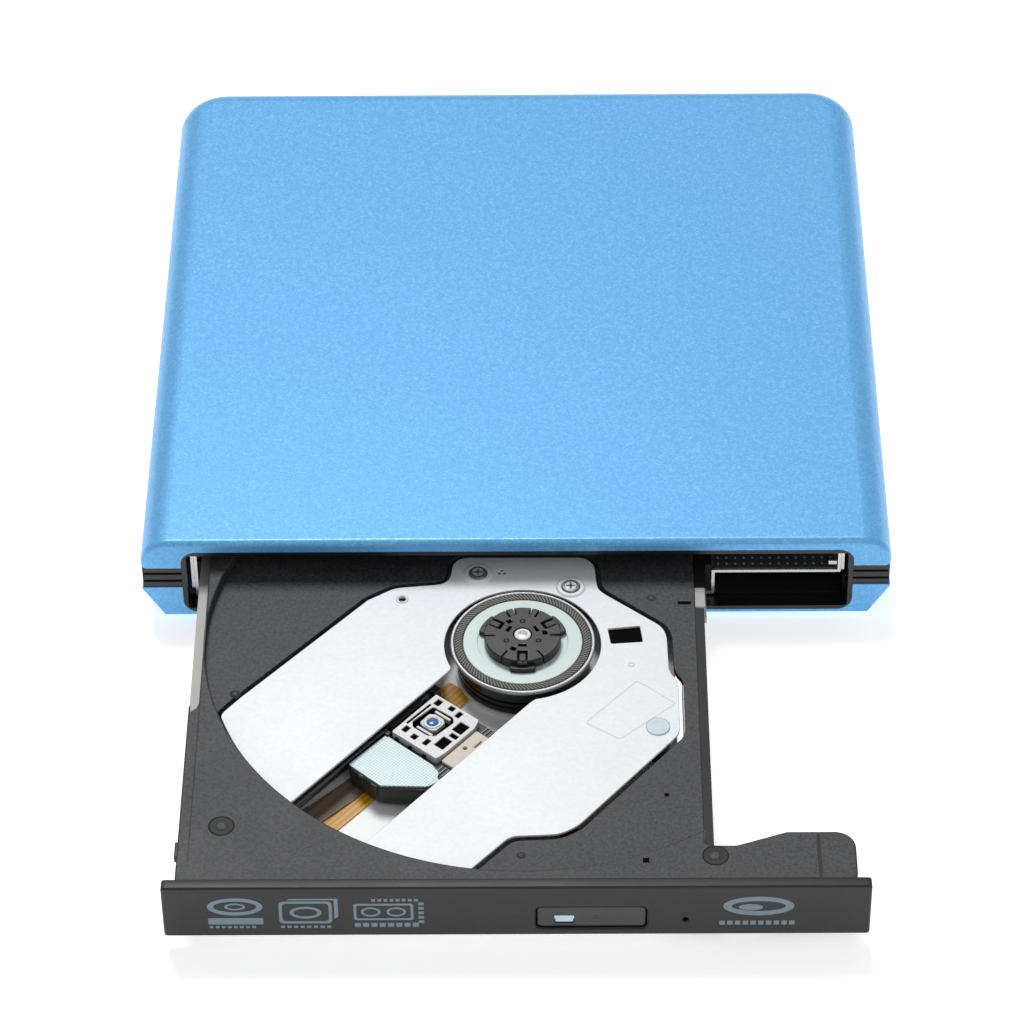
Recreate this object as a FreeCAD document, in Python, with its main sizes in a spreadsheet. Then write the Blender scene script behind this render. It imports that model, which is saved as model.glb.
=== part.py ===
import FreeCAD
import Part
import Sketcher
import math
import os

# External optical drive with a part-open tray, millimetres.
# Origin: centre of the housing on its flat underside plane. X to the right seen from the
# front, Y to the back, Z up. The rubber feet stand below Z = 0.

SIZES = {
    # housing
    "house_width": 146.0,
    "house_depth": 146.2,
    "house_height": 19.0,
    "shell_wall": 1.2,
    "back_corner": 10.0,
    "roll_radius": 5.5,
    "front_edge_round": 1.2,
    "band_low": 7.25,
    "band_height": 5.1,
    "band_inset": 0.2,
    "belly_rise": 4.1,
    "belly_run": 6.9,
    "foot_radius": 4.0,
    "foot_height": 1.0,
    "foot_sink": 0.6,
    "foot_across": 58.0,
    "foot_along": 62.0,
    # front frame
    "drive_shift": 0.3,
    "frame_width": 130.8,
    "frame_low": 0.7,
    "frame_high": 16.45,
    "frame_wall": 0.9,
    "frame_depth": 4.0,
    "frame_corner": 3.0,
    "frame_inner_corner": 0.8,
    "fit_gap": 0.05,
    # drive case
    "case_half": 63.85,
    "case_low": 2.1,
    "case_high": 14.8,
    "case_sheet": 0.6,
    "case_setback": 3.0,
    "case_length": 126.0,
    "step_x": 38.3,
    "shelf_z": 8.4,
    "ear_low": 11.05,
    # tray
    "tray_out": 86.3,
    "bezel_thick": 2.5,
    "post_x": 50.0,
    "post_y": 64.0,
    "bezel_half": 64.0,
    "bezel_low": 1.96,
    "bezel_high": 14.7,
    "tray_length": 123.6,
    "tray_left": -59.5,
    "tray_right": 34.6,
    "tray_low": 3.4,
    "tray_high": 13.4,
    "tray_wall": 1.5,
    "recess_radius": 60.6,
    "recess_floor": 11.0,
    "tray_ceiling": 9.8,
    "window_gap": 1.0,
    "latch_pin_radius": 0.9,
    "latch_release": 12.0,
    # rails
    "rail_width": 1.9,
    "rail_low": 4.4,
    "rail_high": 10.6,
    "rail_length": 85.0,
    "tongue_low": 6.1,
    "tongue_high": 7.9,
    "tongue_reach": 0.35,
    "slide_gap": 0.1,
    "left_rail_front": -40.0,
    "right_rail_front": -9.5,
    # traverse, about the disc axis
    "hub_x": 1.37,
    "hub_behind_bezel": 66.05,
    "sled_angle": -130.0,
    "plate_top": 11.2,
    "plate_thick": 0.5,
    "plate_hole_radius": 15.0,
    "slot_left": -6.1,
    "slot_right": 11.2,
    # spindle
    "turntable_radius": 13.8,
    "turntable_top": 11.9,
    "rotor_radius": 12.6,
    "hub_radius": 7.4,
    "hub_top": 13.9,
    "shaft_radius": 1.5,
    "bearing_gap": 0.05,
    # sled drive
    "guide_radius": 1.0,
    "guide_z": 7.2,
    "main_guide_y": -7.6,
    "far_guide_y": 13.2,
    "screw_y": 18.0,
    "lens_reach": 26.0,
    # rear electronics
    "board_thick": 1.2,
    "board_z": 3.4,
    "usb_x": -30.0,
    "usb_width": 7.7,
    "usb_height": 3.9,
}


class Dim:
    """A size together with the sheet expression it comes from."""

    def __init__(self, value, text):
        self.value = value
        self.text = text

    def _join(self, other, sign, value):
        return Dim(value, "(%s %s %s)" % (self.text, sign, as_dim(other).text))

    def __add__(self, other):
        return self._join(other, "+", self.value + as_dim(other).value)

    def __radd__(self, other):
        return as_dim(other) + self

    def __sub__(self, other):
        return self._join(other, "-", self.value - as_dim(other).value)

    def __rsub__(self, other):
        return as_dim(other) - self

    def __mul__(self, other):
        return self._join(other, "*", self.value * as_dim(other).value)

    def __rmul__(self, other):
        return as_dim(other) * self

    def __truediv__(self, other):
        return self._join(other, "/", self.value / as_dim(other).value)

    def __neg__(self):
        return Dim(-self.value, "(0 - %s)" % self.text)


def as_dim(number):
    """Returns a number as a Dim, leaving a Dim as it is."""
    if isinstance(number, Dim):
        return number
    return Dim(float(number), "%.6f" % number if number >= 0 else "(0 - %.6f)" % -number)


DOC = FreeCAD.newDocument("optical_drive")
SHEET = DOC.addObject("Spreadsheet::Sheet", "Sizes")


def read_sizes():
    """Fills the sheet and returns each size as a Dim by name."""
    dims = {}
    for row, (name, value) in enumerate(SIZES.items(), 1):
        SHEET.set("A%d" % row, name)
        SHEET.set("B%d" % row, "%g" % value)
        SHEET.setAlias("B%d" % row, name)
    DOC.recompute()
    for name in SIZES:
        dims[name] = Dim(float(SHEET.get(name)), "Sizes.%s" % name)
    return dims


S = read_sizes()
PARTS = []

front_y = -S["house_depth"] / 2
back_y = S["house_depth"] / 2
half_width = S["house_width"] / 2
shift = S["drive_shift"]
tray_y = front_y - S["tray_out"]
case_front = front_y + S["case_setback"]
case_back = case_front + S["case_length"]
hub_y = tray_y + S["hub_behind_bezel"]
band_high = S["band_low"] + S["band_height"]


# ---------------------------------------------------------------- helpers

def bind(item, prop, number):
    """Ties one property of an object to the sheet."""
    item.setExpression(prop, as_dim(number).text)


def node(item, label, x=0, y=0, z=0, turn=None):
    """Names a finished sub-part and binds its placement."""
    if item.TypeId in ("Part::Box", "Part::Cylinder"):
        item = group(item)
    item.Label = label
    if turn is not None:
        item.Placement = FreeCAD.Placement(FreeCAD.Vector(), FreeCAD.Rotation(FreeCAD.Vector(0, 0, 1), 1))
        bind(item, "Placement.Rotation.Angle", turn)
    bind(item, "Placement.Base.x", x)
    bind(item, "Placement.Base.y", y)
    bind(item, "Placement.Base.z", z)
    PARTS.append(item)
    return item


def box(x0, x1, y0, y1, z0, z1):
    """A block between three pairs of planes."""
    item = DOC.addObject("Part::Box", "Block")
    bind(item, "Length", as_dim(x1) - x0)
    bind(item, "Width", as_dim(y1) - y0)
    bind(item, "Height", as_dim(z1) - z0)
    bind(item, "Placement.Base.x", x0)
    bind(item, "Placement.Base.y", y0)
    bind(item, "Placement.Base.z", z0)
    return item


def rod(x, y, z0, z1, radius):
    """An upright cylinder."""
    item = DOC.addObject("Part::Cylinder", "Rod")
    bind(item, "Radius", radius)
    bind(item, "Height", as_dim(z1) - z0)
    bind(item, "Placement.Base.x", x)
    bind(item, "Placement.Base.y", y)
    bind(item, "Placement.Base.z", z0)
    return item


def bar(x0, x1, y, z, radius):
    """A cylinder lying along X."""
    item = DOC.addObject("Part::Cylinder", "Bar")
    item.Placement = FreeCAD.Placement(FreeCAD.Vector(), FreeCAD.Rotation(FreeCAD.Vector(0, 1, 0), 90))
    bind(item, "Radius", radius)
    bind(item, "Height", as_dim(x1) - x0)
    bind(item, "Placement.Base.x", x0)
    bind(item, "Placement.Base.y", y)
    bind(item, "Placement.Base.z", z)
    return item


def tube(x, y, z0, z1, outer, inner):
    """An upright ring."""
    return cut(rod(x, y, z0, z1, outer), rod(x, y, as_dim(z0) - 1, as_dim(z1) + 1, inner))


def fuse(*items):
    """One solid from touching or overlapping pieces."""
    item = DOC.addObject("Part::MultiFuse", "Union")
    item.Shapes = list(items)
    item.Refine = True
    return item


def cut(base, *tools):
    """The base with every tool removed."""
    item = DOC.addObject("Part::Cut", "Cut")
    item.Base = base
    item.Tool = tools[0] if len(tools) == 1 else fuse(*tools)
    return item


def group(*items):
    """Separate solids kept together in one sub-part."""
    item = DOC.addObject("Part::Compound", "Group")
    item.Links = list(items)
    return item


def new_body():
    return DOC.addObject("PartDesign::Body", "Body")


def new_sketch(body, role, offset, turn=None):
    """A sketch lying flat on one of the body's own planes."""
    sketch = body.newObject("Sketcher::SketchObject", "Sketch")
    plane = [item for item in body.Origin.OriginFeatures if item.Role == role][0]
    sketch.AttachmentSupport = [(plane, "")]
    sketch.MapMode = "FlatFace"
    if turn is not None:
        spin = FreeCAD.Rotation(FreeCAD.Vector(0, 0, 1), as_dim(turn).value)
        sketch.AttachmentOffset = FreeCAD.Placement(FreeCAD.Vector(), spin)
    bind(sketch, "AttachmentOffset.Base.z", offset)
    return sketch


def draw_loop(sketch, points):
    """Adds one closed outline with every corner dimensioned from the origin."""
    first = sketch.GeometryCount
    corners = [(as_dim(x), as_dim(y)) for x, y in points]
    count = len(corners)
    vectors = [FreeCAD.Vector(x.value, y.value, 0) for x, y in corners]
    lines = [Part.LineSegment(vectors[i], vectors[(i + 1) % count]) for i in range(count)]
    sketch.addGeometry(lines, False)
    rules = [Sketcher.Constraint("Coincident", first + i, 2, first + (i + 1) % count, 1)
             for i in range(count)]
    start = sketch.ConstraintCount + count
    for i, (x, y) in enumerate(corners):
        rules.append(Sketcher.Constraint("DistanceX", -1, 1, first + i, 1, x.value))
        rules.append(Sketcher.Constraint("DistanceY", -1, 1, first + i, 1, y.value))
    sketch.addConstraint(rules)
    for i, (x, y) in enumerate(corners):
        if "Sizes" in x.text:
            sketch.setExpression("Constraints[%d]" % (start + 2 * i), x.text)
        if "Sizes" in y.text:
            sketch.setExpression("Constraints[%d]" % (start + 2 * i + 1), y.text)


def draw_circle(sketch, x, y, radius):
    """Adds one dimensioned circle."""
    x, y, radius = as_dim(x), as_dim(y), as_dim(radius)
    index = sketch.GeometryCount
    start = sketch.ConstraintCount
    middle = FreeCAD.Vector(x.value, y.value, 0)
    sketch.addGeometry(Part.Circle(middle, FreeCAD.Vector(0, 0, 1), radius.value), False)
    sketch.addConstraint([
        Sketcher.Constraint("DistanceX", -1, 1, index, 3, x.value),
        Sketcher.Constraint("DistanceY", -1, 1, index, 3, y.value),
        Sketcher.Constraint("Radius", index, radius.value),
    ])
    for step, number in enumerate((x, y, radius)):
        if "Sizes" in number.text:
            sketch.setExpression("Constraints[%d]" % (start + step), number.text)


def oblong(x0, x1, y0, y1):
    """The four corners of an upright rectangle."""
    return [(x0, y0), (x1, y0), (x1, y1), (x0, y1)]


def pad(body, z0, z1, loops=(), circles=(), role="XY_Plane", turn=None):
    """Adds material between two planes square to the sketch."""
    sketch = new_sketch(body, role, z0, turn)
    for points in loops:
        draw_loop(sketch, points)
    for x, y, radius in circles:
        draw_circle(sketch, x, y, radius)
    feature = body.newObject("PartDesign::Pad", "Pad")
    feature.Profile = sketch
    bind(feature, "Length", as_dim(z1) - z0)
    DOC.recompute()
    return feature


def pocket(body, z0, z1, loops=(), circles=(), turn=None):
    """Removes material between two levels, from the lower one upward."""
    before = body.Shape.Volume
    sketch = new_sketch(body, "XY_Plane", z0, turn)
    for points in loops:
        draw_loop(sketch, points)
    for x, y, radius in circles:
        draw_circle(sketch, x, y, radius)
    feature = body.newObject("PartDesign::Pocket", "Pocket")
    feature.Profile = sketch
    feature.Reversed = True
    bind(feature, "Length", as_dim(z1) - z0)
    DOC.recompute()
    if body.Shape.Volume >= before - 1e-6:
        raise ValueError("a pocket removed nothing in %s" % body.Name)
    return feature


def edge_names(shape, wanted):
    """Names of the edges whose bounding box passes a test."""
    return ["Edge%d" % (i + 1) for i, edge in enumerate(shape.Edges) if wanted(edge.BoundBox)]


def soften(body, radius, wanted, kind="PartDesign::Fillet"):
    """Rounds or chamfers the edges of the body that pass a test."""
    tip = body.Tip
    feature = body.newObject(kind, "Edge")
    feature.Base = (tip, edge_names(tip.Shape, wanted))
    bind(feature, "Radius" if kind.endswith("Fillet") else "Size", radius)
    DOC.recompute()
    if "Invalid" in feature.State:
        raise ValueError("edges of %s could not be rounded" % body.Name)
    return feature


def near(a, b):
    return abs(a - as_dim(b).value) < 1e-4


def upright(bound):
    return bound.XLength < 1e-4 and bound.YLength < 1e-4


# ---------------------------------------------------------------- housing

def shell_block(body, z0, z1):
    """The housing outline, drawn long at the front and rounded at the back corners."""
    reach = 20
    pad(body, z0, z1, [oblong(-half_width, half_width, front_y - reach, back_y)])
    soften(body, S["back_corner"], lambda b: upright(b) and near(b.YMin, back_y))


def cavity(half, back, corner):
    """A hollow's outline inside the housing, following its rounded back corners."""
    slack = corner * (1 - math.sqrt(0.5))
    y0 = front_y + S["shell_wall"]
    return [(-half, y0), (half, y0), (half, back - corner), (half - slack, back - slack),
            (half - corner, back),
            (corner - half, back), (slack - half, back - slack), (-half, back - corner)]


def trim_front(body):
    """Cuts the housing flat at its front face."""
    pocket(body, -1, S["house_height"] + 1,
           [oblong(-half_width - 1, half_width + 1, front_y - 30, front_y)])


def top_shell():
    body = new_body()
    shell_block(body, band_high, S["house_height"])
    high = S["house_height"]
    far_front = front_y - 20
    soften(body, S["roll_radius"], lambda b: near(b.ZMin, high) and near(b.ZMax, high)
           and not (near(b.YMin, far_front) and near(b.YMax, far_front)))
    trim_front(body)
    soften(body, S["front_edge_round"], lambda b: near(b.YMin, front_y) and near(b.YMax, front_y)
           and b.ZMax > band_high.value + 0.5 and b.ZMin > band_high.value + 0.4)
    wall = S["shell_wall"]
    lower_top = S["house_height"] - S["roll_radius"] + 0.5
    inner = half_width - wall
    upper = half_width - S["roll_radius"] + 0.5
    corner = S["back_corner"] - wall
    pocket(body, band_high - 1, lower_top, [cavity(inner, back_y - wall, corner)])
    pocket(body, band_high - 1, S["house_height"] - wall,
           [cavity(upper, back_y - S["roll_radius"] + 0.5, corner - S["roll_radius"] + 0.5)])
    gap = S["fit_gap"]
    side = S["frame_width"] / 2 + gap
    pocket(body, band_high - 1, S["frame_high"] + gap,
           [oblong(shift - side, shift + side, front_y - 1, front_y + wall + 1)])
    soften(body, S["frame_corner"], lambda b: b.XLength < 1e-4 and b.ZLength < 1e-4
           and near(b.ZMax, S["frame_high"] + gap) and b.YMax < front_y.value + 3)
    for side_sign in (-1, 1):
        post_x = S["post_x"] * side_sign
        pad(body, band_high, S["house_height"] - 0.5, circles=[(post_x, S["post_y"], 2.6)])
        pocket(body, band_high - 1, S["house_height"] - 3, circles=[(post_x, S["post_y"], 1.0)])
    node(body, "top_shell")


def bottom_shell():
    body = new_body()
    low_top = S["band_low"]
    shell_block(body, 0, low_top)
    tip = body.Tip
    far_front = front_y - 20
    edges = edge_names(tip.Shape, lambda b: near(b.ZMin, 0) and near(b.ZMax, 0)
                       and not (near(b.YMin, far_front) and near(b.YMax, far_front)))
    belly = body.newObject("PartDesign::Chamfer", "Belly")
    belly.Base = (tip, edges)
    belly.ChamferType = "Two distances"
    bind(belly, "Size", S["belly_run"])
    bind(belly, "Size2", S["belly_rise"])
    DOC.recompute()
    trim_front(body)
    wall = S["shell_wall"]
    floor = half_width - S["belly_run"]
    inner = half_width - wall
    corner = S["back_corner"] - wall
    half_run = S["belly_run"] / 2
    pocket(body, S["belly_rise"] + 0.4, low_top + 1, [cavity(inner, back_y - wall, corner)])
    pocket(body, S["belly_rise"] / 2 + 0.9, low_top + 1,
           [cavity(half_width - half_run, back_y - half_run, corner)])
    pocket(body, wall, low_top + 1, [cavity(floor, back_y - S["belly_run"], corner / 2)])
    gap = S["fit_gap"]
    side = S["frame_width"] / 2 + gap
    pocket(body, S["frame_low"] - gap, low_top + 1,
           [oblong(shift - side, shift + side, front_y - 1, front_y + S["frame_depth"] + gap)])
    soften(body, S["frame_corner"], lambda b: b.XLength < 1e-4 and b.ZLength < 1e-4
           and near(b.ZMin, S["frame_low"] - gap) and b.YMax < front_y.value + 5)
    for x, y in foot_places():
        pocket(body, -1, S["foot_sink"], circles=[(x, y, S["foot_radius"] + gap)])
    for side_sign in (-1, 1):
        post_x = S["post_x"] * side_sign
        pad(body, wall - 0.2, band_high - 0.1, circles=[(post_x, S["post_y"], 3.0)])
        pocket(body, -1, band_high + 1, circles=[(post_x, S["post_y"], 1.3)])
        pocket(body, -1, 3.0, circles=[(post_x, S["post_y"], 2.2)])
    for x in (-44, -8):
        pad(body, wall - 0.2, S["board_z"] - 0.02, circles=[(x, 60, 2.0)])
    usb_side = S["usb_width"] / 2 + 0.15
    usb_low = S["board_z"] + S["board_thick"] - 0.1
    pocket(body, usb_low, low_top + 1,
           [oblong(S["usb_x"] - usb_side, S["usb_x"] + usb_side, back_y - 7, back_y + 1)])
    node(body, "bottom_shell")


def foot_places():
    """The four feet, as mirrored pairs."""
    return [(S["foot_across"] * i, S["foot_along"] * j) for i in (-1, 1) for j in (-1, 1)]


def rounded_prism(half, y0, y1, corner, z0, z1):
    """A rectangular block with rounded back corners."""
    block = Part.makeBox(2 * half, y1 - y0, z1 - z0, FreeCAD.Vector(-half, y0, z0))
    corners = [edge for edge in block.Edges if upright(edge.BoundBox) and abs(edge.BoundBox.YMin - y1) < 1e-6]
    return block.makeFillet(corner, corners)


def middle_band():
    """Black band round three sides, with two grooves and short returns at the front."""
    low, high = S["band_low"].value, band_high.value
    inset = S["band_inset"].value
    half = half_width.value
    y0, y1 = front_y.value, back_y.value
    corner = S["back_corner"].value

    def ring(depth, thick, z0, z1):
        outer = rounded_prism(half - depth, y0 + depth, y1 - depth, corner - depth, z0, z1)
        inner = rounded_prism(half - thick, y0 + thick, y1 - thick, corner - thick, z0 - 1, z1 + 1)
        return outer.cut(inner)

    gap = S["fit_gap"].value
    thick = 1.9
    ribs = 3
    groove = 0.6
    rib = (high - low - 2 * gap - (ribs - 1) * groove) / ribs
    solid = ring(inset + 0.6, thick, low + gap, high - gap)
    for i in range(ribs):
        z0 = low + gap + i * (rib + groove)
        solid = solid.fuse(ring(inset, thick, z0, z0 + rib))
    side = S["frame_width"].value / 2 + gap
    slot = Part.makeBox(2 * side, 6, high - low + 2,
                        FreeCAD.Vector(shift.value - side, y0 - 1, low - 1))
    usb_half = S["usb_width"].value / 2 + 0.15
    inlet_top = S["board_z"].value + S["board_thick"].value + S["usb_height"].value + 0.15
    inlet = Part.makeBox(2 * usb_half, 8, inlet_top - low + 1,
                         FreeCAD.Vector(S["usb_x"].value - usb_half, y1 - 6, low - 1))
    item = DOC.addObject("Part::Feature", "Band")
    item.Shape = solid.cut(slot).cut(inlet).removeSplitter()
    node(item, "middle_band")


def front_frame():
    body = new_body()
    half = S["frame_width"] / 2
    wall = S["frame_wall"]
    low, high = S["frame_low"], S["frame_high"]
    pad(body, -front_y - S["frame_depth"], -front_y, [oblong(shift - half, shift + half, low, high),
        oblong(shift - half + wall, shift + half - wall, low + wall, high - wall)], role="XZ_Plane")
    soften(body, S["frame_corner"], lambda b: b.XLength < 1e-4 and b.ZLength < 1e-4
           and abs(b.XMin - shift.value) > half.value - 0.1)
    soften(body, S["frame_inner_corner"], lambda b: b.XLength < 1e-4 and b.ZLength < 1e-4
           and near(b.YMin, front_y) and abs(b.XMin - shift.value) < half.value - 0.5
           and abs(b.XMin - shift.value) > half.value - wall.value - 0.1)
    node(body, "front_frame")


def rubber_feet():
    feet = []
    for x, y in foot_places():
        feet.append(rod(x, y, -S["foot_height"], S["foot_sink"] - S["fit_gap"], S["foot_radius"]))
    node(group(*feet), "rubber_feet")


def shell_screws():
    screws = []
    for side in (-1, 1):
        head = rod(S["post_x"] * side, S["post_y"], 1.4, 2.9, 2.0)
        thread = rod(S["post_x"] * side, S["post_y"], 2.9, band_high + 3, 0.95)
        screws.append(fuse(head, thread))
    node(group(*screws), "shell_screws")


# ---------------------------------------------------------------- rear electronics

def rear_electronics():
    z0 = S["board_z"]
    top = z0 + S["board_thick"]
    board_y0 = case_back + 2.6
    board_y1 = back_y - 3.9
    node(box(-46, 30, board_y0, board_y1, z0, top), "bridge_board")
    chips = [box(-12, -5, board_y0 + 3, board_y0 + 9, top, top + 0.9),
             box(2, 7, board_y0 + 4, board_y0 + 8, top, top + 1.5),
             box(-20, -16, board_y0 + 5, board_y0 + 9, top, top + 1.2),
             rod(15, board_y0 + 7, top, top + 3.2, 2.0),
             rod(21, board_y0 + 7, top, top + 3.2, 2.0)]
    node(group(*chips), "bridge_chips")
    x0 = S["usb_x"] - S["usb_width"] / 2
    x1 = S["usb_x"] + S["usb_width"] / 2
    high = top + S["usb_height"]
    shell = cut(box(x0, x1, back_y - 8.8, back_y - 0.4, top, high),
                box(x0 + 0.4, x1 - 0.4, back_y - 8.0, back_y + 1, top + 0.4, high - 0.4))
    tongue = box(S["usb_x"] - 2.3, S["usb_x"] + 2.3, back_y - 8.0, back_y - 2.2, top + 1.5, top + 2.2)
    node(fuse(shell, tongue), "usb_socket")
    socket = cut(box(-4, 30, case_back + 0.3, board_y0 + 2.2, top, top + 4.6),
                 box(-2, 28, case_back - 1, case_back + 2.6, top + 1.0, top + 3.4))
    node(socket, "bridge_connector")
    plug = fuse(box(-3, 29, case_back - 5.0, case_back - 0.7, top, top + 4.2),
                box(-1.6, 27.6, case_back - 1, case_back + 2.2, top + 1.5, top + 2.9))
    board = box(-40, 30, case_back - 5.0, case_back - 0.8, z0, top)
    node(group(plug, board), "drive_plug_board")


# ---------------------------------------------------------------- drive case

def case_covers():
    half = S["case_half"]
    sheet = S["case_sheet"]
    low, high = S["case_low"], S["case_high"]
    out = half - sheet - S["fit_gap"]
    inn = out - sheet
    shelf = S["shelf_z"]
    step = S["step_x"]
    lip = high - sheet - 0.3
    section = [(shift - out, low), (step + sheet, low), (step + sheet, shelf - sheet),
               (shift + out, shelf - sheet),
               (shift + out, lip), (shift + inn, lip), (shift + inn, shelf), (step, shelf),
               (step, low + sheet), (shift - inn, low + sheet), (shift - inn, lip), (shift - out, lip)]
    body = new_body()
    pad(body, -case_back, -case_front, [section], role="XZ_Plane")
    back = [(shift - inn, low), (step + sheet, low), (step + sheet, shelf - sheet),
            (shift + inn, shelf - sheet), (shift + inn, lip), (shift - inn, lip)]
    pad(body, -case_back, -case_back + sheet, [back], role="XZ_Plane")
    notch_low = S["board_z"] + S["board_thick"] + 0.9
    pocket(body, notch_low, notch_low + 2.6, [oblong(-3.5, 29.5, case_back - 0.65, case_back + 1)])
    pad(body, low + 0.3, 5.6, circles=[(32.0, case_front + 5.7, 0.7)])
    node(body, "drive_base_cover")

    top = new_body()
    skirt = half - sheet
    left_low = 4.4
    right_low = shelf + 0.1
    cover = [(shift - half, left_low), (shift - skirt, left_low), (shift - skirt, high - sheet),
             (shift + skirt, high - sheet), (shift + skirt, right_low), (shift + half, right_low),
             (shift + half, high), (shift - half, high)]
    pad(top, -case_back, -case_front, [cover], role="XZ_Plane")
    node(top, "drive_top_cover")

    sheet_top = shelf + 0.3
    sheet_body = new_body()
    sheet_front = case_front + 0.3
    pad(sheet_body, shelf, sheet_top, [oblong(step + 0.5, shift + inn - 0.5, sheet_front, sheet_front + 60)])
    node(sheet_body, "shelf_liner")
    screws = []
    for side in (-1, 1):
        for y in (case_front + 20, case_back - 12):
            head = bar(0, 0.5, 0, 0, 1.3)
            bind(head, "Placement.Base.x", shift + half + 0.02 if side > 0 else shift - half - 0.52)
            bind(head, "Placement.Base.y", y)
            bind(head, "Placement.Base.z", 12.4)
            screws.append(head)
    node(group(*screws), "cover_screws")


def rail(side, face, front):
    """A flat bar with a tongue on each face; face is the tray wall it runs beside."""
    gap = S["slide_gap"]
    width = S["rail_width"]
    reach = S["tongue_reach"]
    inner = gap
    outer = gap + width
    low, high = S["rail_low"], S["rail_high"]
    t0, t1 = S["tongue_low"], S["tongue_high"]
    section = [(inner, low), (outer, low), (outer, t0), (outer + reach, t0), (outer + reach, t1), (outer, t1),
               (outer, high), (inner, high), (inner, t1), (inner - gap - reach, t1),
               (inner - gap - reach, t0),
               (inner, t0)]
    body = new_body()
    pad(body, -S["rail_length"], 0, [[(x * side, z) for x, z in section]], role="XZ_Plane")
    node(body, ("left" if side < 0 else "right") + "_rail", face, front_y + front)


def rail_guide(side, face, wall_x):
    """The fixed channel beside a rail, with a groove for the rail's outer tongue."""
    gap = S["slide_gap"]
    inner = face + (2 * gap + S["rail_width"]) * side
    outer = wall_x - 0.05 * side
    depth = inner + (S["tongue_reach"] + 0.02) * side
    t0, t1 = S["tongue_low"] - gap, S["tongue_high"] + gap
    low = S["case_low"] + S["case_sheet"]
    high = S["rail_high"] + 0.3 if side < 0 else S["shelf_z"] + 1.0
    section = [(inner, low), (outer, low), (outer, high), (inner, high), (inner, t1), (depth, t1),
               (depth, t0), (inner, t0)]
    body = new_body()
    pad(body, -case_back + 6, -case_front - 0.5, [section], role="XZ_Plane")
    node(body, ("left" if side < 0 else "right") + "_rail_guide")


def rails():
    gap = S["slide_gap"]
    left_wall = shift - S["case_half"] + S["case_sheet"] * 2 + S["fit_gap"]
    rail(-1, S["tray_left"], S["left_rail_front"])
    rail(1, S["tray_right"], S["right_rail_front"])
    rail_guide(-1, S["tray_left"], left_wall)
    rail_guide(1, S["tray_right"], S["step_x"])


# ---------------------------------------------------------------- tray

# Outline of the traverse plate about the disc axis, from the front right corner round.
PLATE = [(-12.5, -62.0), (-8.8, -57.6), (-2.2, -50.1), (6.7, -49.7), (10.1, -47.7), (29.5, -24.0),
         (29.5, -10.2), (27.8, -7.7), (27.6, 2.2), (26.7, 4.7), (15.4, 14.1), (14.4, 15.6), (13.9, 22.0),
         (12.1, 24.1), (-12.0, 24.2), (-13.8, 22.2), (-13.9, 18.6), (-15.4, 16.7), (-24.8, 15.7),
         (-30.0, 12.3), (-53.4, -14.2), (-62.0, -25.0), (-62.0, -62.0)]
PLATE_SCREWS = [(-8.7, 19.5), (9.3, 15.6), (25.4, -22.3)]
LATCH_X = 28.5
LATCH_Y = 22.0
TRAY_SCREWS = [(-53.6, 16.7), (36.4, 8.9)]


def grown(points, gap):
    """Moves an anticlockwise outline outward by a gap, keeping its corners mitred."""
    moved = []
    count = len(points)
    for i in range(count):
        ax, ay = points[i - 1]
        bx, by = points[i]
        cx, cy = points[(i + 1) % count]
        ux, uy = bx - ax, by - ay
        vx, vy = cx - bx, cy - by
        ul, vl = math.hypot(ux, uy), math.hypot(vx, vy)
        nx, ny = uy / ul + vy / vl, -ux / ul - vx / vl
        scale = 2 * gap / (nx * nx + ny * ny)
        moved.append((bx + nx * scale, by + ny * scale))
    return moved


def shifted(points, dx, dy):
    """An outline moved by two sizes."""
    return [(dx + x, dy + y) for x, y in points]


def tray():
    body = new_body()
    left, right = S["tray_left"], S["tray_right"]
    low, high = S["tray_low"], S["tray_high"]
    y0 = S["bezel_thick"] + S["fit_gap"]
    y1 = S["tray_length"]
    wall = S["tray_wall"]
    hub_x, hub_dy = S["hub_x"], S["hub_behind_bezel"]
    ceiling = S["tray_ceiling"]
    recess = S["recess_radius"].value
    pad(body, low, high, [oblong(left, right, y0, y1)])
    flange = high - 2.0
    pad(body, flange, high, [oblong(left - S["rail_width"], left + 1, y0, 50)])
    pad(body, flange, high, [oblong(right - 1, right + S["rail_width"] - 0.1, y0, 76)])
    ear = [(right, y0), (61.4, y0), (62.0, y0 + 2), (62.0, 14.8), (48.3, 14.8), (40.4, 11.5), (right, 11.5)]
    pad(body, S["ear_low"], high, [ear])
    pocket(body, S["recess_floor"], high + 1, circles=[(hub_x, hub_dy, S["recess_radius"])])
    pocket(body, low - 1, ceiling, [oblong(left + wall, right - wall, y0 + wall, y1 + 1)])
    window = clipped(grown(PLATE, S["window_gap"].value), recess)
    pocket(body, ceiling - 0.1, high + 1, [shifted(window, hub_x, hub_dy)])
    pocket(body, ceiling - 0.1, high - 1.4, [sled_path()])
    gap = S["slide_gap"]
    t0, t1 = S["tongue_low"] - gap, S["tongue_high"] + gap
    depth = S["tongue_reach"] + 0.1
    pocket(body, t0, t1, [oblong(left - 1, left + depth, y0 + 0.5, y1 + 1)])
    pocket(body, t0, t1, [oblong(right - depth, right + 1, y0 + 0.5, y1 + 1)])
    pocket(body, 4.4, 8.2, [oblong(6.6, 15.6, y0 - 1, y0 + wall + 0.5)])
    for x, y in TRAY_SCREWS:
        pocket(body, high - 1.2, high + 1, circles=[(x, y, 2.3)])
    soften(body, 4.0, lambda b: upright(b) and b.XMin > 60 and b.YMin > 12)
    node(body, "tray", 0, tray_y)


def crossing(outside, inside, limit):
    """The point between two corners that lies on a circle about the disc axis."""
    for _ in range(40):
        middle = ((outside[0] + inside[0]) / 2, (outside[1] + inside[1]) / 2)
        if math.hypot(*middle) < limit:
            inside = middle
        else:
            outside = middle
    return inside


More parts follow.
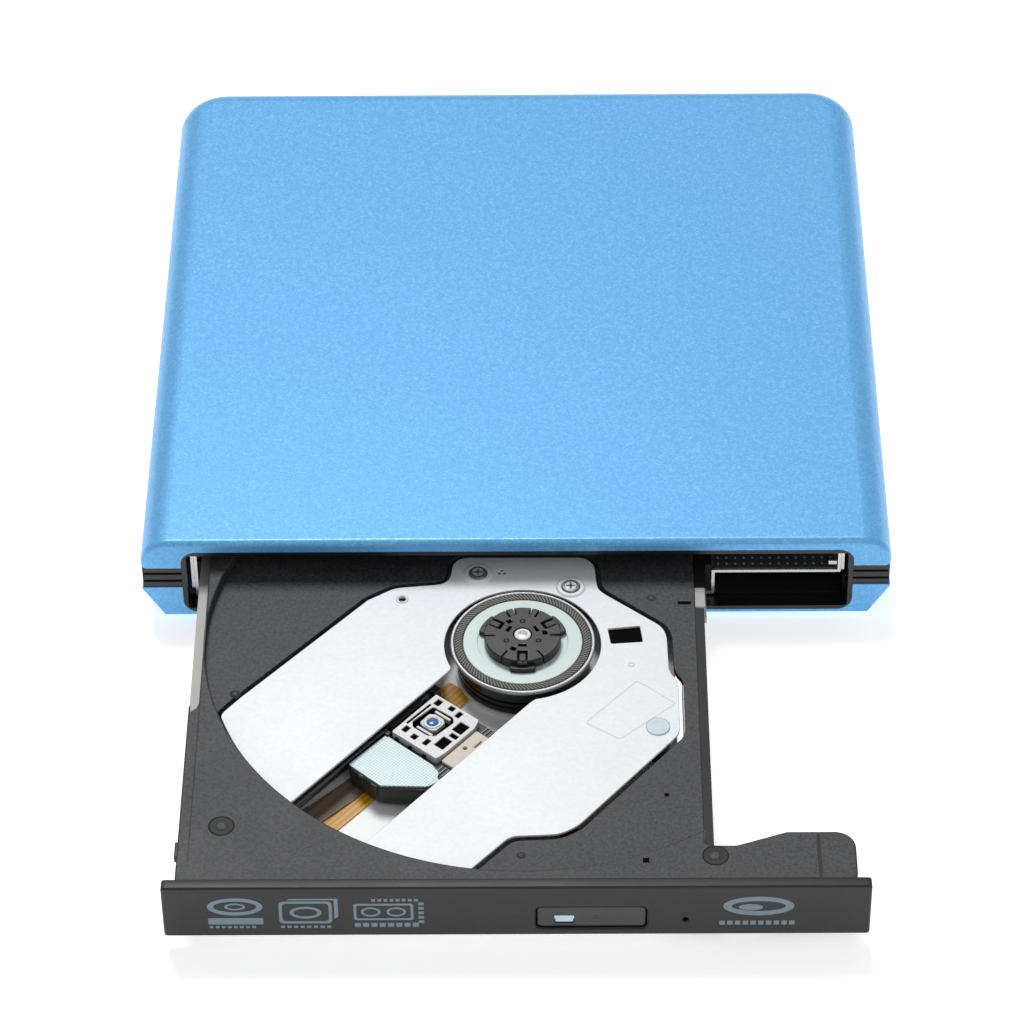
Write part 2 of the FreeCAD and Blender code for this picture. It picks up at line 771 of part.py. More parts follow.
def clipped(points, limit):
    """The part of an outline inside a circle about the disc axis, closed along the circle."""
    count = len(points)
    within = [math.hypot(*point) < limit for point in points]
    start = [i for i in range(count) if within[i] and not within[i - 1]][0]
    kept = []
    i = start
    while within[i % count]:
        kept.append(points[i % count])
        i += 1
    leave = crossing(points[i % count], kept[-1], limit)
    enter = crossing(points[start - 1], kept[0], limit)
    a0, a1 = math.atan2(leave[1], leave[0]), math.atan2(enter[1], enter[0])
    steps = 24
    arc = []
    for k in range(steps + 1):
        angle = a0 + (a1 - a0) * k / steps
        arc.append((limit * math.cos(angle), limit * math.sin(angle)))
    return kept + arc


def sled_path():
    """The corridor under the rim that the sled runs into, as corners in tray axes."""
    angle = math.radians(S["sled_angle"].value)
    corners = []
    for u, v in ((40, -11), (78.6, -11), (78.6, 3.4), (63, 21), (40, 21)):
        x = S["hub_x"].value + u * math.cos(angle) - v * math.sin(angle)
        y = S["hub_behind_bezel"].value + u * math.sin(angle) + v * math.cos(angle)
        corners.append((x, y))
    return corners


def bezel():
    body = new_body()
    half = S["bezel_half"]
    low, high = S["bezel_low"], S["bezel_high"]
    pad(body, -S["bezel_thick"], 0, [oblong(shift - half, shift + half, low, high)], role="XZ_Plane")
    soften(body, 0.6, lambda b: near(b.YMin, 0) and near(b.YMax, 0))
    pocket(body, 3.6, 9.4, [oblong(3.7, 24.0, -1, S["bezel_thick"] + 1)])
    pin = body.newObject("Sketcher::SketchObject", "Pinhole")
    plane = [item for item in body.Origin.OriginFeatures if item.Role == "XZ_Plane"][0]
    pin.AttachmentSupport = [(plane, "")]
    pin.MapMode = "FlatFace"
    draw_circle(pin, 30.85, 5.9, 0.55)
    hole = body.newObject("PartDesign::Pocket", "Hole")
    hole.Profile = pin
    hole.Type = "ThroughAll"
    hole.Midplane = True
    DOC.recompute()
    node(body, "front_bezel", 0, tray_y)


def eject_button():
    plate = cut(box(3.9, 23.8, 0.35, 1.7, 3.8, 9.2), box(7.15, 10.75, -1, 3, 4.75, 6.75))
    stem = box(13, 15, 1.7, 4.9, 6.0, 7.6)
    node(fuse(plate, stem), "eject_button", 0, tray_y)
    node(box(7.2, 10.7, 0.3, 2.9, 4.8, 6.7), "led_window", 0, tray_y)


def tray_fittings():
    low = S["tray_low"]
    y1 = S["tray_length"]
    inner = S["tray_left"] + S["tray_wall"] + 0.1
    sheet = box(inner, 30.6, 5, y1 - 1, low, low + 0.5)
    latch_pin = rod(LATCH_X, LATCH_Y, low + 0.4, low + 4.0, S["latch_pin_radius"])
    node(fuse(sheet, latch_pin), "tray_bottom_plate", 0, tray_y)
    floor = low + 0.5
    board_y = 96.0
    node(box(-55, 30, board_y, y1 - 3, floor, floor + 1.0), "main_board", 0, tray_y)
    top = floor + 1.0
    chips = [box(-40, -28, board_y + 6, board_y + 18, top, top + 1.2),
             box(-20, -12, board_y + 8, board_y + 16, top, top + 1.0),
             box(0, 9, board_y + 5, board_y + 15, top, top + 1.2),
             box(16, 22, board_y + 6, board_y + 11, top, top + 0.9),
             box(-54, -50, board_y + 5, board_y + 19, top, top + 1.8)]
    node(group(*chips), "main_board_chips", 0, tray_y)
    node(box(0, 20, 7.6, 8.6, floor, floor + 5.2), "switch_board", 0, tray_y)
    switch = fuse(box(11, 17, 6.1, 7.6, 4.9, 8.7), box(13.2, 14.8, 5.6, 6.1, 6.0, 7.6))
    node(switch, "eject_switch", 0, tray_y)


def latch():
    z0 = S["tray_low"] + 0.7
    coil = fuse(box(8, 19, 13.5, 20.5, z0 - 0.2, z0 + 4.2), box(19, 20.5, 14.5, 19.5, z0, z0 + 4.0))
    node(coil, "latch_coil", 0, tray_y)
    ring = rod(0, 0, 0, 1.2, 2.0)
    arm = box(-1.2, 1.2, -12, 0, 0, 1.2)
    hook = box(1.0, 3.9, -12, -10, 0, 1.2)
    tail = box(-6.6, 0, -1.2, 1.2, 0, 1.2)
    bore = rod(0, 0, -1, 3, S["latch_pin_radius"] + S["bearing_gap"])
    lever = cut(fuse(ring, arm, hook, tail), bore)
    node(lever, "latch_lever", LATCH_X, tray_y + LATCH_Y, z0, -S["latch_release"])


# ---------------------------------------------------------------- traverse

def traverse():
    thick = S["plate_thick"]
    top = S["plate_top"]
    bottom = top - thick
    edge = S["recess_radius"].value - 0.7
    body = new_body()
    pad(body, bottom, top, [clipped(PLATE, edge)])
    pocket(body, bottom - 1, top + 1, circles=[(0, 0, S["plate_hole_radius"])])
    pocket(body, bottom - 1, top + 1, [oblong(10, 70, S["slot_left"], S["slot_right"])], turn=S["sled_angle"])
    for x, y in PLATE_SCREWS:
        pocket(body, bottom - 1, top + 1, circles=[(x, y, 1.0)])
    pocket(body, bottom - 1, top + 1, [[(16.3, 4.1), (22.5, 4.9), (23.0, 0.5), (16.9, 0.0)]])
    pocket(body, bottom - 1, top + 1, circles=[(-23.3, 12.5, 0.7)])
    node(body, "traverse_plate", S["hub_x"], hub_y)

    frame = new_body()
    deck = bottom - 0.1
    under = deck - 1.5
    pad(frame, under, deck, [clipped(grown(PLATE, -1.5), edge - 1.5)])
    pocket(frame, under - 1, deck + 1, circles=[(0, 0, S["plate_hole_radius"] + 0.5)])
    pocket(frame, under - 1, deck + 1, [oblong(8, 80, -11, 21.6)], turn=S["sled_angle"])
    for x, y in PLATE_SCREWS:
        pocket(frame, under - 1, deck + 1, circles=[(x, y, 1.0)])
    node(frame, "traverse_frame", S["hub_x"], hub_y)

    floor = S["tray_low"] + 0.5
    bushes = [tube(x, y, floor, under, 2.4, 1.0) for x, y in PLATE_SCREWS]
    bushes.append(rod(-38, 2.5, floor, under, 2.4))
    node(group(*bushes), "damper_bushes", S["hub_x"], hub_y)
    screws = []
    for (x, y), head in zip(PLATE_SCREWS, (1.7, 1.7, 2.2)):
        screws.append(fuse(rod(x, y, top, top + 0.5, head), rod(x, y, floor + 1, top, 0.8)))
    pit = S["tray_high"] - 1.2
    for x, y in TRAY_SCREWS:
        screws.append(rod(x - S["hub_x"], y - S["hub_behind_bezel"], pit, pit + 0.7, 1.6))
    node(group(*screws), "tray_screws", S["hub_x"], hub_y)


def spindle():
    hub = {"x": S["hub_x"], "y": hub_y}
    floor = S["tray_low"] + 0.5
    gap = S["bearing_gap"]
    shaft = S["shaft_radius"]
    base = cut(fuse(rod(0, 0, floor, floor + 0.6, 13.0), rod(0, 0, floor, 9.4, 3.4)),
               rod(0, 0, floor + 0.5, 12, shaft + gap))
    node(base, "motor_base", **hub)
    poles = [tube(0, 0, 5.2, 9.0, 5.4, 3.4)]
    for i in range(9):
        arm = box(5.0, 10.6, -1.1, 1.1, 5.6, 8.6)
        holder = group(arm)
        turn = FreeCAD.Rotation(FreeCAD.Vector(0, 0, 1), 40 * i)
        holder.Placement = FreeCAD.Placement(FreeCAD.Vector(), turn)
        poles.append(holder)
    node(fuse(*poles), "motor_stator", **hub)
    under = S["turntable_top"] - 0.9
    can = cut(rod(0, 0, 4.9, under, S["rotor_radius"]), rod(0, 0, 4, under - 0.7, S["rotor_radius"] - 0.7),
              rod(0, 0, 4, 14, shaft))
    node(can, "rotor_can", **hub)
    top = S["turntable_top"]
    table = cut(rod(0, 0, under, top, S["turntable_radius"]), tube(0, 0, top - 0.3, top + 1, 13.2, 11.4),
                rod(0, 0, 4, 14, shaft))
    node(table, "turntable", **hub)
    node(tube(0, 0, top - 0.3, top + 0.05, 13.15, 11.45), "grip_ring", **hub)
    hub_body = cut(rod(0, 0, top, S["hub_top"], S["hub_radius"]), rod(0, 0, 4, 15, shaft))
    slots = []
    for angle in (-90, 30, 150):
        slot = group(box(4.6, 8.5, -1.5, 1.5, top, S["hub_top"] + 1))
        slot.Placement = FreeCAD.Placement(FreeCAD.Vector(), FreeCAD.Rotation(FreeCAD.Vector(0, 0, 1), angle))
        slots.append(slot)
    node(cut(hub_body, *slots), "centring_hub", **hub)
    node(rod(0, 0, floor + 0.7, S["hub_top"], shaft), "spindle_shaft", **hub)
    for name, angle in (("claw_front", -90), ("claw_right", 30), ("claw_left", 150)):
        claw = fuse(box(5.4, 7.3, -1.35, 1.35, top + 0.1, S["hub_top"] - 0.2),
                    box(7.0, 7.75, -1.1, 1.1, S["hub_top"] - 0.75, S["hub_top"] - 0.3))
        node(claw, name, turn=angle, **hub)


def sled():
    spot = {"x": S["hub_x"], "y": hub_y, "turn": S["sled_angle"]}
    radius = S["guide_radius"]
    gz = S["guide_z"]
    gap = S["bearing_gap"]
    lens = S["lens_reach"]
    node(bar(17, 67, S["main_guide_y"], gz, radius), "main_guide_shaft", **spot)
    node(bar(17, 62, S["far_guide_y"], gz, radius), "far_guide_shaft", **spot)
    floor = S["tray_low"] + 0.5
    holders = []
    for u, v in ((17.2, S["main_guide_y"]), (64.8, S["main_guide_y"]), (17.2, S["far_guide_y"]),
                 (60.0, S["far_guide_y"])):
        block = cut(box(u, u + 1.9, v - 1.7, v + 1.7, floor, gz + 1.6), bar(u - 1, u + 3, v, gz, radius))
        holders.append(block)
    v = S["screw_y"]
    holders.append(cut(box(60.2, 62.0, v - 1.6, v + 1.6, floor, gz + 1.4), bar(58, 66, v, gz, radius)))
    node(group(*holders), "shaft_holders", **spot)

    base = fuse(box(lens - 6.5, lens + 18, -5.8, 10.8, 4.8, 8.4),
                box(lens - 4, lens + 5, S["main_guide_y"] - 1.9, -5.8, 5.4, 9.0),
                box(lens - 2, lens + 1.5, 10.8, S["screw_y"] + 1.9, 5.4, 9.0))
    bores = [bar(0, 80, S["main_guide_y"], gz, radius + gap),
             bar(0, 80, S["far_guide_y"], gz, radius + gap),
             bar(0, 80, S["screw_y"], gz, radius + 0.1),
             box(lens + 12, lens + 19, 3.4, 12, 4, 9)]
    node(cut(base, *bores), "pickup_base", **spot)
    cup = cut(box(lens - 6, lens + 7, -4.6, 6.6, 8.4, 10.3),
              box(lens - 2.6, lens + 2.6, -3.4, 2.8, 8.3, 11))
    node(cup, "actuator_frame", **spot)
    node(box(lens + 7.3, lens + 17.8, -5.6, 2.8, 8.4, 9.6), "pickup_cover", **spot)
    node(box(lens - 5.8, lens + 6.8, 7.0, 10.2, 8.4, 9.8), "pickup_side_plate", **spot)
    magnets = [box(lens + 1.35, lens + 2.55, -2.4, 1.8, 8.4, 10.0),
               box(lens - 2.55, lens - 1.35 - 0.2, -2.4, 1.8, 8.4, 10.0)]
    node(group(*magnets), "actuator_magnets", **spot)
    holder = cut(box(lens - 1.15, lens + 1.05, -2.2, 1.6, 8.9, 10.1), rod(lens, -0.3, 9.4, 11, 0.95))
    node(holder, "lens_holder", **spot)
    node(rod(lens, -0.3, 9.4, 10.3, 0.9), "objective_lens", **spot)

    node(cut(bar(9.5, 19, S["screw_y"], gz, 3.0), bar(11, 20, S["screw_y"], gz, radius + gap)),
         "stepper_motor", **spot)
    screw = fuse(bar(11.5, 61.5, S["screw_y"], gz, radius - 0.05), bar(20, 60, S["screw_y"], gz, radius))
    node(screw, "lead_screw", **spot)


def flexes():
    spot = {"x": S["hub_x"], "y": hub_y, "turn": S["sled_angle"]}
    floor = S["tray_low"] + 0.5
    node(box(40, 60.5, -5.6, -1.0, floor + 0.4, floor + 0.55), "sled_flex_brown", **spot)
    node(box(40, 62, -1.6, 3.0, floor + 0.1, floor + 0.25), "sled_flex_orange", **spot)
    node(box(13.5, 19.5, -4.6, -1.8, floor + 0.3, floor + 0.45), "motor_flex", **spot)
    z0 = S["case_low"] + S["case_sheet"]
    node(box(-20, 0, -40, case_back - 5.2, z0, z0 + 0.15), "tray_flex")


def export():
    """Checks every sub-part and writes it out."""
    DOC.recompute()
    os.makedirs("parts", exist_ok=True)
    for item in DOC.Objects:
        for state in item.State:
            if state in ("Invalid", "Error"):
                raise ValueError("%s is %s" % (item.Label, state))
    for item in PARTS:
        shape = item.Shape
        if shape.isNull() or not shape.isValid() or not shape.Solids:
            raise ValueError("%s has no valid solid" % item.Label)
        shape.exportStep("parts/%s.step" % item.Label)


top_shell()
bottom_shell()
middle_band()
front_frame()
rubber_feet()
shell_screws()
rear_electronics()
case_covers()
rails()
tray()
bezel()
eject_button()
tray_fittings()
latch()
traverse()
spindle()
sled()
flexes()
export()
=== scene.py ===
"""Finishes and fine detail of a slim external optical drive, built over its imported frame."""

import logging
import math
from dataclasses import dataclass
from enum import Enum
from typing import ClassVar, Dict, List, Optional, Sequence, Tuple

import bmesh
import bpy
from mathutils import Matrix, Vector


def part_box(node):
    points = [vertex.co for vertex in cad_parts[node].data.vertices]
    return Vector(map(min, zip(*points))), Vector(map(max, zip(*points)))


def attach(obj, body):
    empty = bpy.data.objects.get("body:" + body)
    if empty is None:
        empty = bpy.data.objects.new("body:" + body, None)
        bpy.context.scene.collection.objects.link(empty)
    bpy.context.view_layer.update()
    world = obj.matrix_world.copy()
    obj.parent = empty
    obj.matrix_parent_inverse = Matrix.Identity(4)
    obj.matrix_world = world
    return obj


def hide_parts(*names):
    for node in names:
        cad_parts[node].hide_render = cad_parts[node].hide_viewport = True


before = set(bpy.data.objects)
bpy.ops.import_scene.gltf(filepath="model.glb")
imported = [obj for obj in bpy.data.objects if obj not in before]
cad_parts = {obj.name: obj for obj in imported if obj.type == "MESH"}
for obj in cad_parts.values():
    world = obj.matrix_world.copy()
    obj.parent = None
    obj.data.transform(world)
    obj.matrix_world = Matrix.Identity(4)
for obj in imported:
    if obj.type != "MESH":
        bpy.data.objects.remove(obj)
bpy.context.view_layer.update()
LOG = logging.getLogger("optical_drive")

Point = Tuple[float, float]
Spot = Tuple[float, float, float, float]
Loop = List[Point]
MM = 0.001
ROUND = 128
TINY = 0.0005


# ---------------------------------------------------------------- finishes


class Surface(Enum):
    """The kinds of fine texture that a finish can carry."""

    MOULDED = "moulded"
    PEARL = "pearl"
    BRUSHED = "brushed"
    GRID = "grid"
    TRACKS = "tracks"


class TextureGroups:
    """Shader node groups shared by the finishes, each built once."""

    def __init__(self) -> None:
        """Starts with no group built."""
        self._built: Dict[Surface, bpy.types.NodeTree] = {}

    def get(self, kind: Surface) -> bpy.types.NodeTree:
        """Gives the group of one kind, building it the first time.

        Args:
            kind: the texture wanted.

        Returns:
            The shader node group.
        """
        if kind not in self._built:
            self._built[kind] = getattr(self, "_" + kind.value)()
        return self._built[kind]

    @staticmethod
    def _start(name: str) -> Tuple[bpy.types.NodeTree, bpy.types.Node, bpy.types.Node,
                                   bpy.types.Node]:
        """Makes an empty group with the sockets that every texture has.

        Args:
            name: the group's name.

        Returns:
            The tree, its input node, its output node and object coordinates.
        """
        tree = bpy.data.node_groups.new(name, "ShaderNodeTree")
        size = tree.interface.new_socket("Size", in_out="INPUT", socket_type="NodeSocketFloat")
        size.default_value = 1000.0
        spread = tree.interface.new_socket("Spread", in_out="INPUT", socket_type="NodeSocketFloat")
        spread.default_value = 0.5
        for output in ("Tone", "Shine", "Height"):
            tree.interface.new_socket(output, in_out="OUTPUT", socket_type="NodeSocketFloat")
        given = tree.nodes.new("NodeGroupInput")
        out = tree.nodes.new("NodeGroupOutput")
        coords = tree.nodes.new("ShaderNodeTexCoord")
        return tree, given, out, coords

    @staticmethod
    def _noise(tree: bpy.types.NodeTree, vector: bpy.types.NodeSocket,
               detail: float) -> bpy.types.Node:
        """Adds one noise texture read at a vector.

        Args:
            tree: the group to add to.
            vector: where the noise is read.
            detail: its octaves.

        Returns:
            The noise node.
        """
        node = tree.nodes.new("ShaderNodeTexNoise")
        node.inputs["Detail"].default_value = detail
        tree.links.new(vector, node.inputs["Vector"])
        return node

    @staticmethod
    def _math(tree: bpy.types.NodeTree, kind: str, a: object,
              b: object = 0.0) -> bpy.types.NodeSocket:
        """Adds one math node, taking sockets or plain numbers.

        Args:
            tree: the group to add to.
            kind: the operation.
            a: the first value.
            b: the second value.

        Returns:
            The result's socket.
        """
        node = tree.nodes.new("ShaderNodeMath")
        node.operation = kind
        for index, value in enumerate((a, b)):
            if isinstance(value, (int, float)):
                node.inputs[index].default_value = value
            else:
                tree.links.new(value, node.inputs[index])
        return node.outputs[0]

    def _spread_tone(self, tree: bpy.types.NodeTree, given: bpy.types.Node,
                     value: bpy.types.NodeSocket) -> bpy.types.NodeSocket:
        """Widens a texture value about one half by the group's Spread.

        Args:
            tree: the group to add to.
            given: its input node.
            value: the texture's value.

        Returns:
            The widened value.
        """
        centred = self._math(tree, "SUBTRACT", value, 0.5)
        scaled = self._math(tree, "MULTIPLY", centred, given.outputs["Spread"])
        return self._math(tree, "ADD", scaled, 0.5)

    def _moulded(self) -> bpy.types.NodeTree:
        """Fine pitted grain of textured plastic, with slow patches of tone.

        Returns:
            The shader node group.
        """
        tree, given, out, coords = self._start("moulded_grain")
        fine = self._noise(tree, coords.outputs["Object"], 3.0)
        tree.links.new(given.outputs["Size"], fine.inputs["Scale"])
        slow = self._noise(tree, coords.outputs["Object"], 2.0)
        slow.inputs["Scale"].default_value = 45.0
        cells = tree.nodes.new("ShaderNodeTexVoronoi")
        tree.links.new(coords.outputs["Object"], cells.inputs["Vector"])
        doubled = self._math(tree, "MULTIPLY", given.outputs["Size"], 1.6)
        tree.links.new(doubled, cells.inputs["Scale"])
        tone = self._math(tree, "ADD", self._math(tree, "MULTIPLY", fine.outputs["Fac"], 0.7),
                          self._math(tree, "MULTIPLY", slow.outputs["Fac"], 0.3))
        tree.links.new(self._spread_tone(tree, given, tone), out.inputs["Tone"])
        tree.links.new(slow.outputs["Fac"], out.inputs["Shine"])
        tree.links.new(cells.outputs["Distance"], out.inputs["Height"])
        return tree

    def _pearl(self) -> bpy.types.NodeTree:
        """Tiny bright flakes in a metallic paint.

        Returns:
            The shader node group.
        """
        tree, given, out, coords = self._start("pearl_flakes")
        cells = tree.nodes.new("ShaderNodeTexVoronoi")
        tree.links.new(coords.outputs["Object"], cells.inputs["Vector"])
        tree.links.new(given.outputs["Size"], cells.inputs["Scale"])
        split = tree.nodes.new("ShaderNodeSeparateColor")
        tree.links.new(cells.outputs["Color"], split.inputs["Color"])
        soft = self._noise(tree, coords.outputs["Object"], 4.0)
        soft.inputs["Scale"].default_value = 900.0
        flake = self._math(tree, "POWER", split.outputs["Red"], 3.0)
        tone = self._math(tree, "ADD", self._math(tree, "MULTIPLY", flake, 0.6),
                          self._math(tree, "MULTIPLY", soft.outputs["Fac"], 0.5))
        tree.links.new(self._spread_tone(tree, given, tone), out.inputs["Tone"])
        tree.links.new(split.outputs["Green"], out.inputs["Shine"])
        tree.links.new(split.outputs["Blue"], out.inputs["Height"])
        return tree

    def _brushed(self) -> bpy.types.NodeTree:
        """Fine drawn lines of rolled sheet metal.

        Returns:
            The shader node group.
        """
        tree, given, out, coords = self._start("brushed_lines")
        stretch = tree.nodes.new("ShaderNodeMapping")
        stretch.inputs["Scale"].default_value = (1.0, 0.06, 1.0)
        tree.links.new(coords.outputs["Object"], stretch.inputs["Vector"])
        lines = self._noise(tree, stretch.outputs["Vector"], 4.0)
        tree.links.new(given.outputs["Size"], lines.inputs["Scale"])
        cloud = self._noise(tree, coords.outputs["Object"], 2.0)
        cloud.inputs["Scale"].default_value = 60.0
        tone = self._math(tree, "ADD", self._math(tree, "MULTIPLY", lines.outputs["Fac"], 0.5),
                          self._math(tree, "MULTIPLY", cloud.outputs["Fac"], 0.5))
        tree.links.new(self._spread_tone(tree, given, tone), out.inputs["Tone"])
        tree.links.new(lines.outputs["Fac"], out.inputs["Shine"])
        tree.links.new(lines.outputs["Fac"], out.inputs["Height"])
        return tree

    def _stripes(self, tree: bpy.types.NodeTree, given: bpy.types.Node, axis: bpy.types.NodeSocket,
                 width: float) -> bpy.types.NodeSocket:
        """Gives 1 on thin lines one Size apart along an axis and 0 between them."""
        cell = self._math(tree, "FRACT", self._math(tree, "MULTIPLY", axis, given.outputs["Size"]))
        return self._math(tree, "LESS_THAN", cell, width)

    def _turned(self, tree: bpy.types.NodeTree, coords: bpy.types.Node) -> bpy.types.Node:
        """Splits object coordinates turned to the sled's own axes.

        Args:
            tree: the group to add to.
            coords: its coordinates node.

        Returns:
            A node with the turned X, Y and Z apart.
        """
        turn = tree.nodes.new("ShaderNodeMapping")
        turn.inputs["Rotation"].default_value = (0.0, 0.0, math.radians(-Traverse.SLED_ANGLE))
        tree.links.new(coords.outputs["Object"], turn.inputs["Vector"])
        split = tree.nodes.new("ShaderNodeSeparateXYZ")
        tree.links.new(turn.outputs["Vector"], split.inputs["Vector"])
        return split

    def _grid(self) -> bpy.types.NodeTree:
        """A square net of thin lines, set square to the sled.

        Returns:
            The shader node group.
        """
        tree, given, out, coords = self._start("grid_lines")
        split = self._turned(tree, coords)
        across = self._stripes(tree, given, split.outputs["X"], 0.22)
        along = self._stripes(tree, given, split.outputs["Y"], 0.22)
        net = self._math(tree, "MAXIMUM", across, along)
        tone = self._math(tree, "SUBTRACT", 1.0, net)
        tree.links.new(self._spread_tone(tree, given, tone), out.inputs["Tone"])
        tree.links.new(net, out.inputs["Shine"])
        tree.links.new(tone, out.inputs["Height"])
        return tree

    def _tracks(self) -> bpy.types.NodeTree:
        """Copper tracks running the length of a ribbon cable.

        Returns:
            The shader node group.
        """
        tree, given, out, coords = self._start("ribbon_tracks")
        split = self._turned(tree, coords)
        along = self._stripes(tree, given, split.outputs["Y"], 0.5)
        cloud = self._noise(tree, coords.outputs["Object"], 2.0)
        cloud.inputs["Scale"].default_value = 180.0
        tone = self._math(tree, "ADD", self._math(tree, "MULTIPLY", along, 0.5),
                          self._math(tree, "MULTIPLY", cloud.outputs["Fac"], 0.5))
        tree.links.new(self._spread_tone(tree, given, tone), out.inputs["Tone"])
        tree.links.new(cloud.outputs["Fac"], out.inputs["Shine"])
        tree.links.new(along, out.inputs["Height"])
        return tree


GROUPS = TextureGroups()
READY: Dict[str, bpy.types.Material] = {}


@dataclass(frozen=True)
class Finish:
    """One surface finish: its colours, shine and fine texture."""

    name: str
    dark: Tuple[float, float, float]
    light: Tuple[float, float, float]
    roughness: float = 0.45
    metallic: float = 0.0
    coat: float = 0.0
    surface: Surface = Surface.MOULDED
    size: float = 3000.0
    spread: float = 1.0
    rough_swing: float = 0.08
    bump: float = 0.15
    bump_depth: float = 0.00003
    glow: float = 0.0
    clear: float = 0.0
    shine: float = 0.5

    def material(self) -> bpy.types.Material:
        """Gives this finish's material, building it the first time.

        Returns:
            A node material.
        """
        if self.name in READY:
            return READY[self.name]
        made = bpy.data.materials.new("look_" + self.name)
        READY[self.name] = made
        made.use_nodes = True
        tree = made.node_tree
        shader = tree.nodes["Principled BSDF"]
        shader.inputs["Metallic"].default_value = self.metallic
        shader.inputs["Coat Weight"].default_value = self.coat
        shader.inputs["Coat Roughness"].default_value = 0.18
        shader.inputs["Specular IOR Level"].default_value = self.shine
        if self.clear > 0:
            shader.inputs["Transmission Weight"].default_value = self.clear
        texture = tree.nodes.new("ShaderNodeGroup")
        texture.node_tree = GROUPS.get(self.surface)
        texture.inputs["Size"].default_value = self.size
        texture.inputs["Spread"].default_value = self.spread
        mix = tree.nodes.new("ShaderNodeMix")
        mix.data_type = "RGBA"
        mix.inputs["A"].default_value = (*self.dark, 1.0)
        mix.inputs["B"].default_value = (*self.light, 1.0)
        tree.links.new(texture.outputs["Tone"], mix.inputs["Factor"])
        tree.links.new(mix.outputs["Result"], shader.inputs["Base Color"])
        swing = tree.nodes.new("ShaderNodeMapRange")
        swing.inputs["To Min"].default_value = max(self.roughness - self.rough_swing, 0.02)
        swing.inputs["To Max"].default_value = min(self.roughness + self.rough_swing, 1.0)
        tree.links.new(texture.outputs["Shine"], swing.inputs["Value"])
        tree.links.new(swing.outputs["Result"], shader.inputs["Roughness"])
        bump = tree.nodes.new("ShaderNodeBump")
        bump.inputs["Strength"].default_value = self.bump
        bump.inputs["Distance"].default_value = self.bump_depth
        tree.links.new(texture.outputs["Height"], bump.inputs["Height"])
        tree.links.new(bump.outputs["Normal"], shader.inputs["Normal"])
        if self.glow > 0:
            shader.inputs["Emission Color"].default_value = (*self.light, 1.0)
            shader.inputs["Emission Strength"].default_value = self.glow
        return made


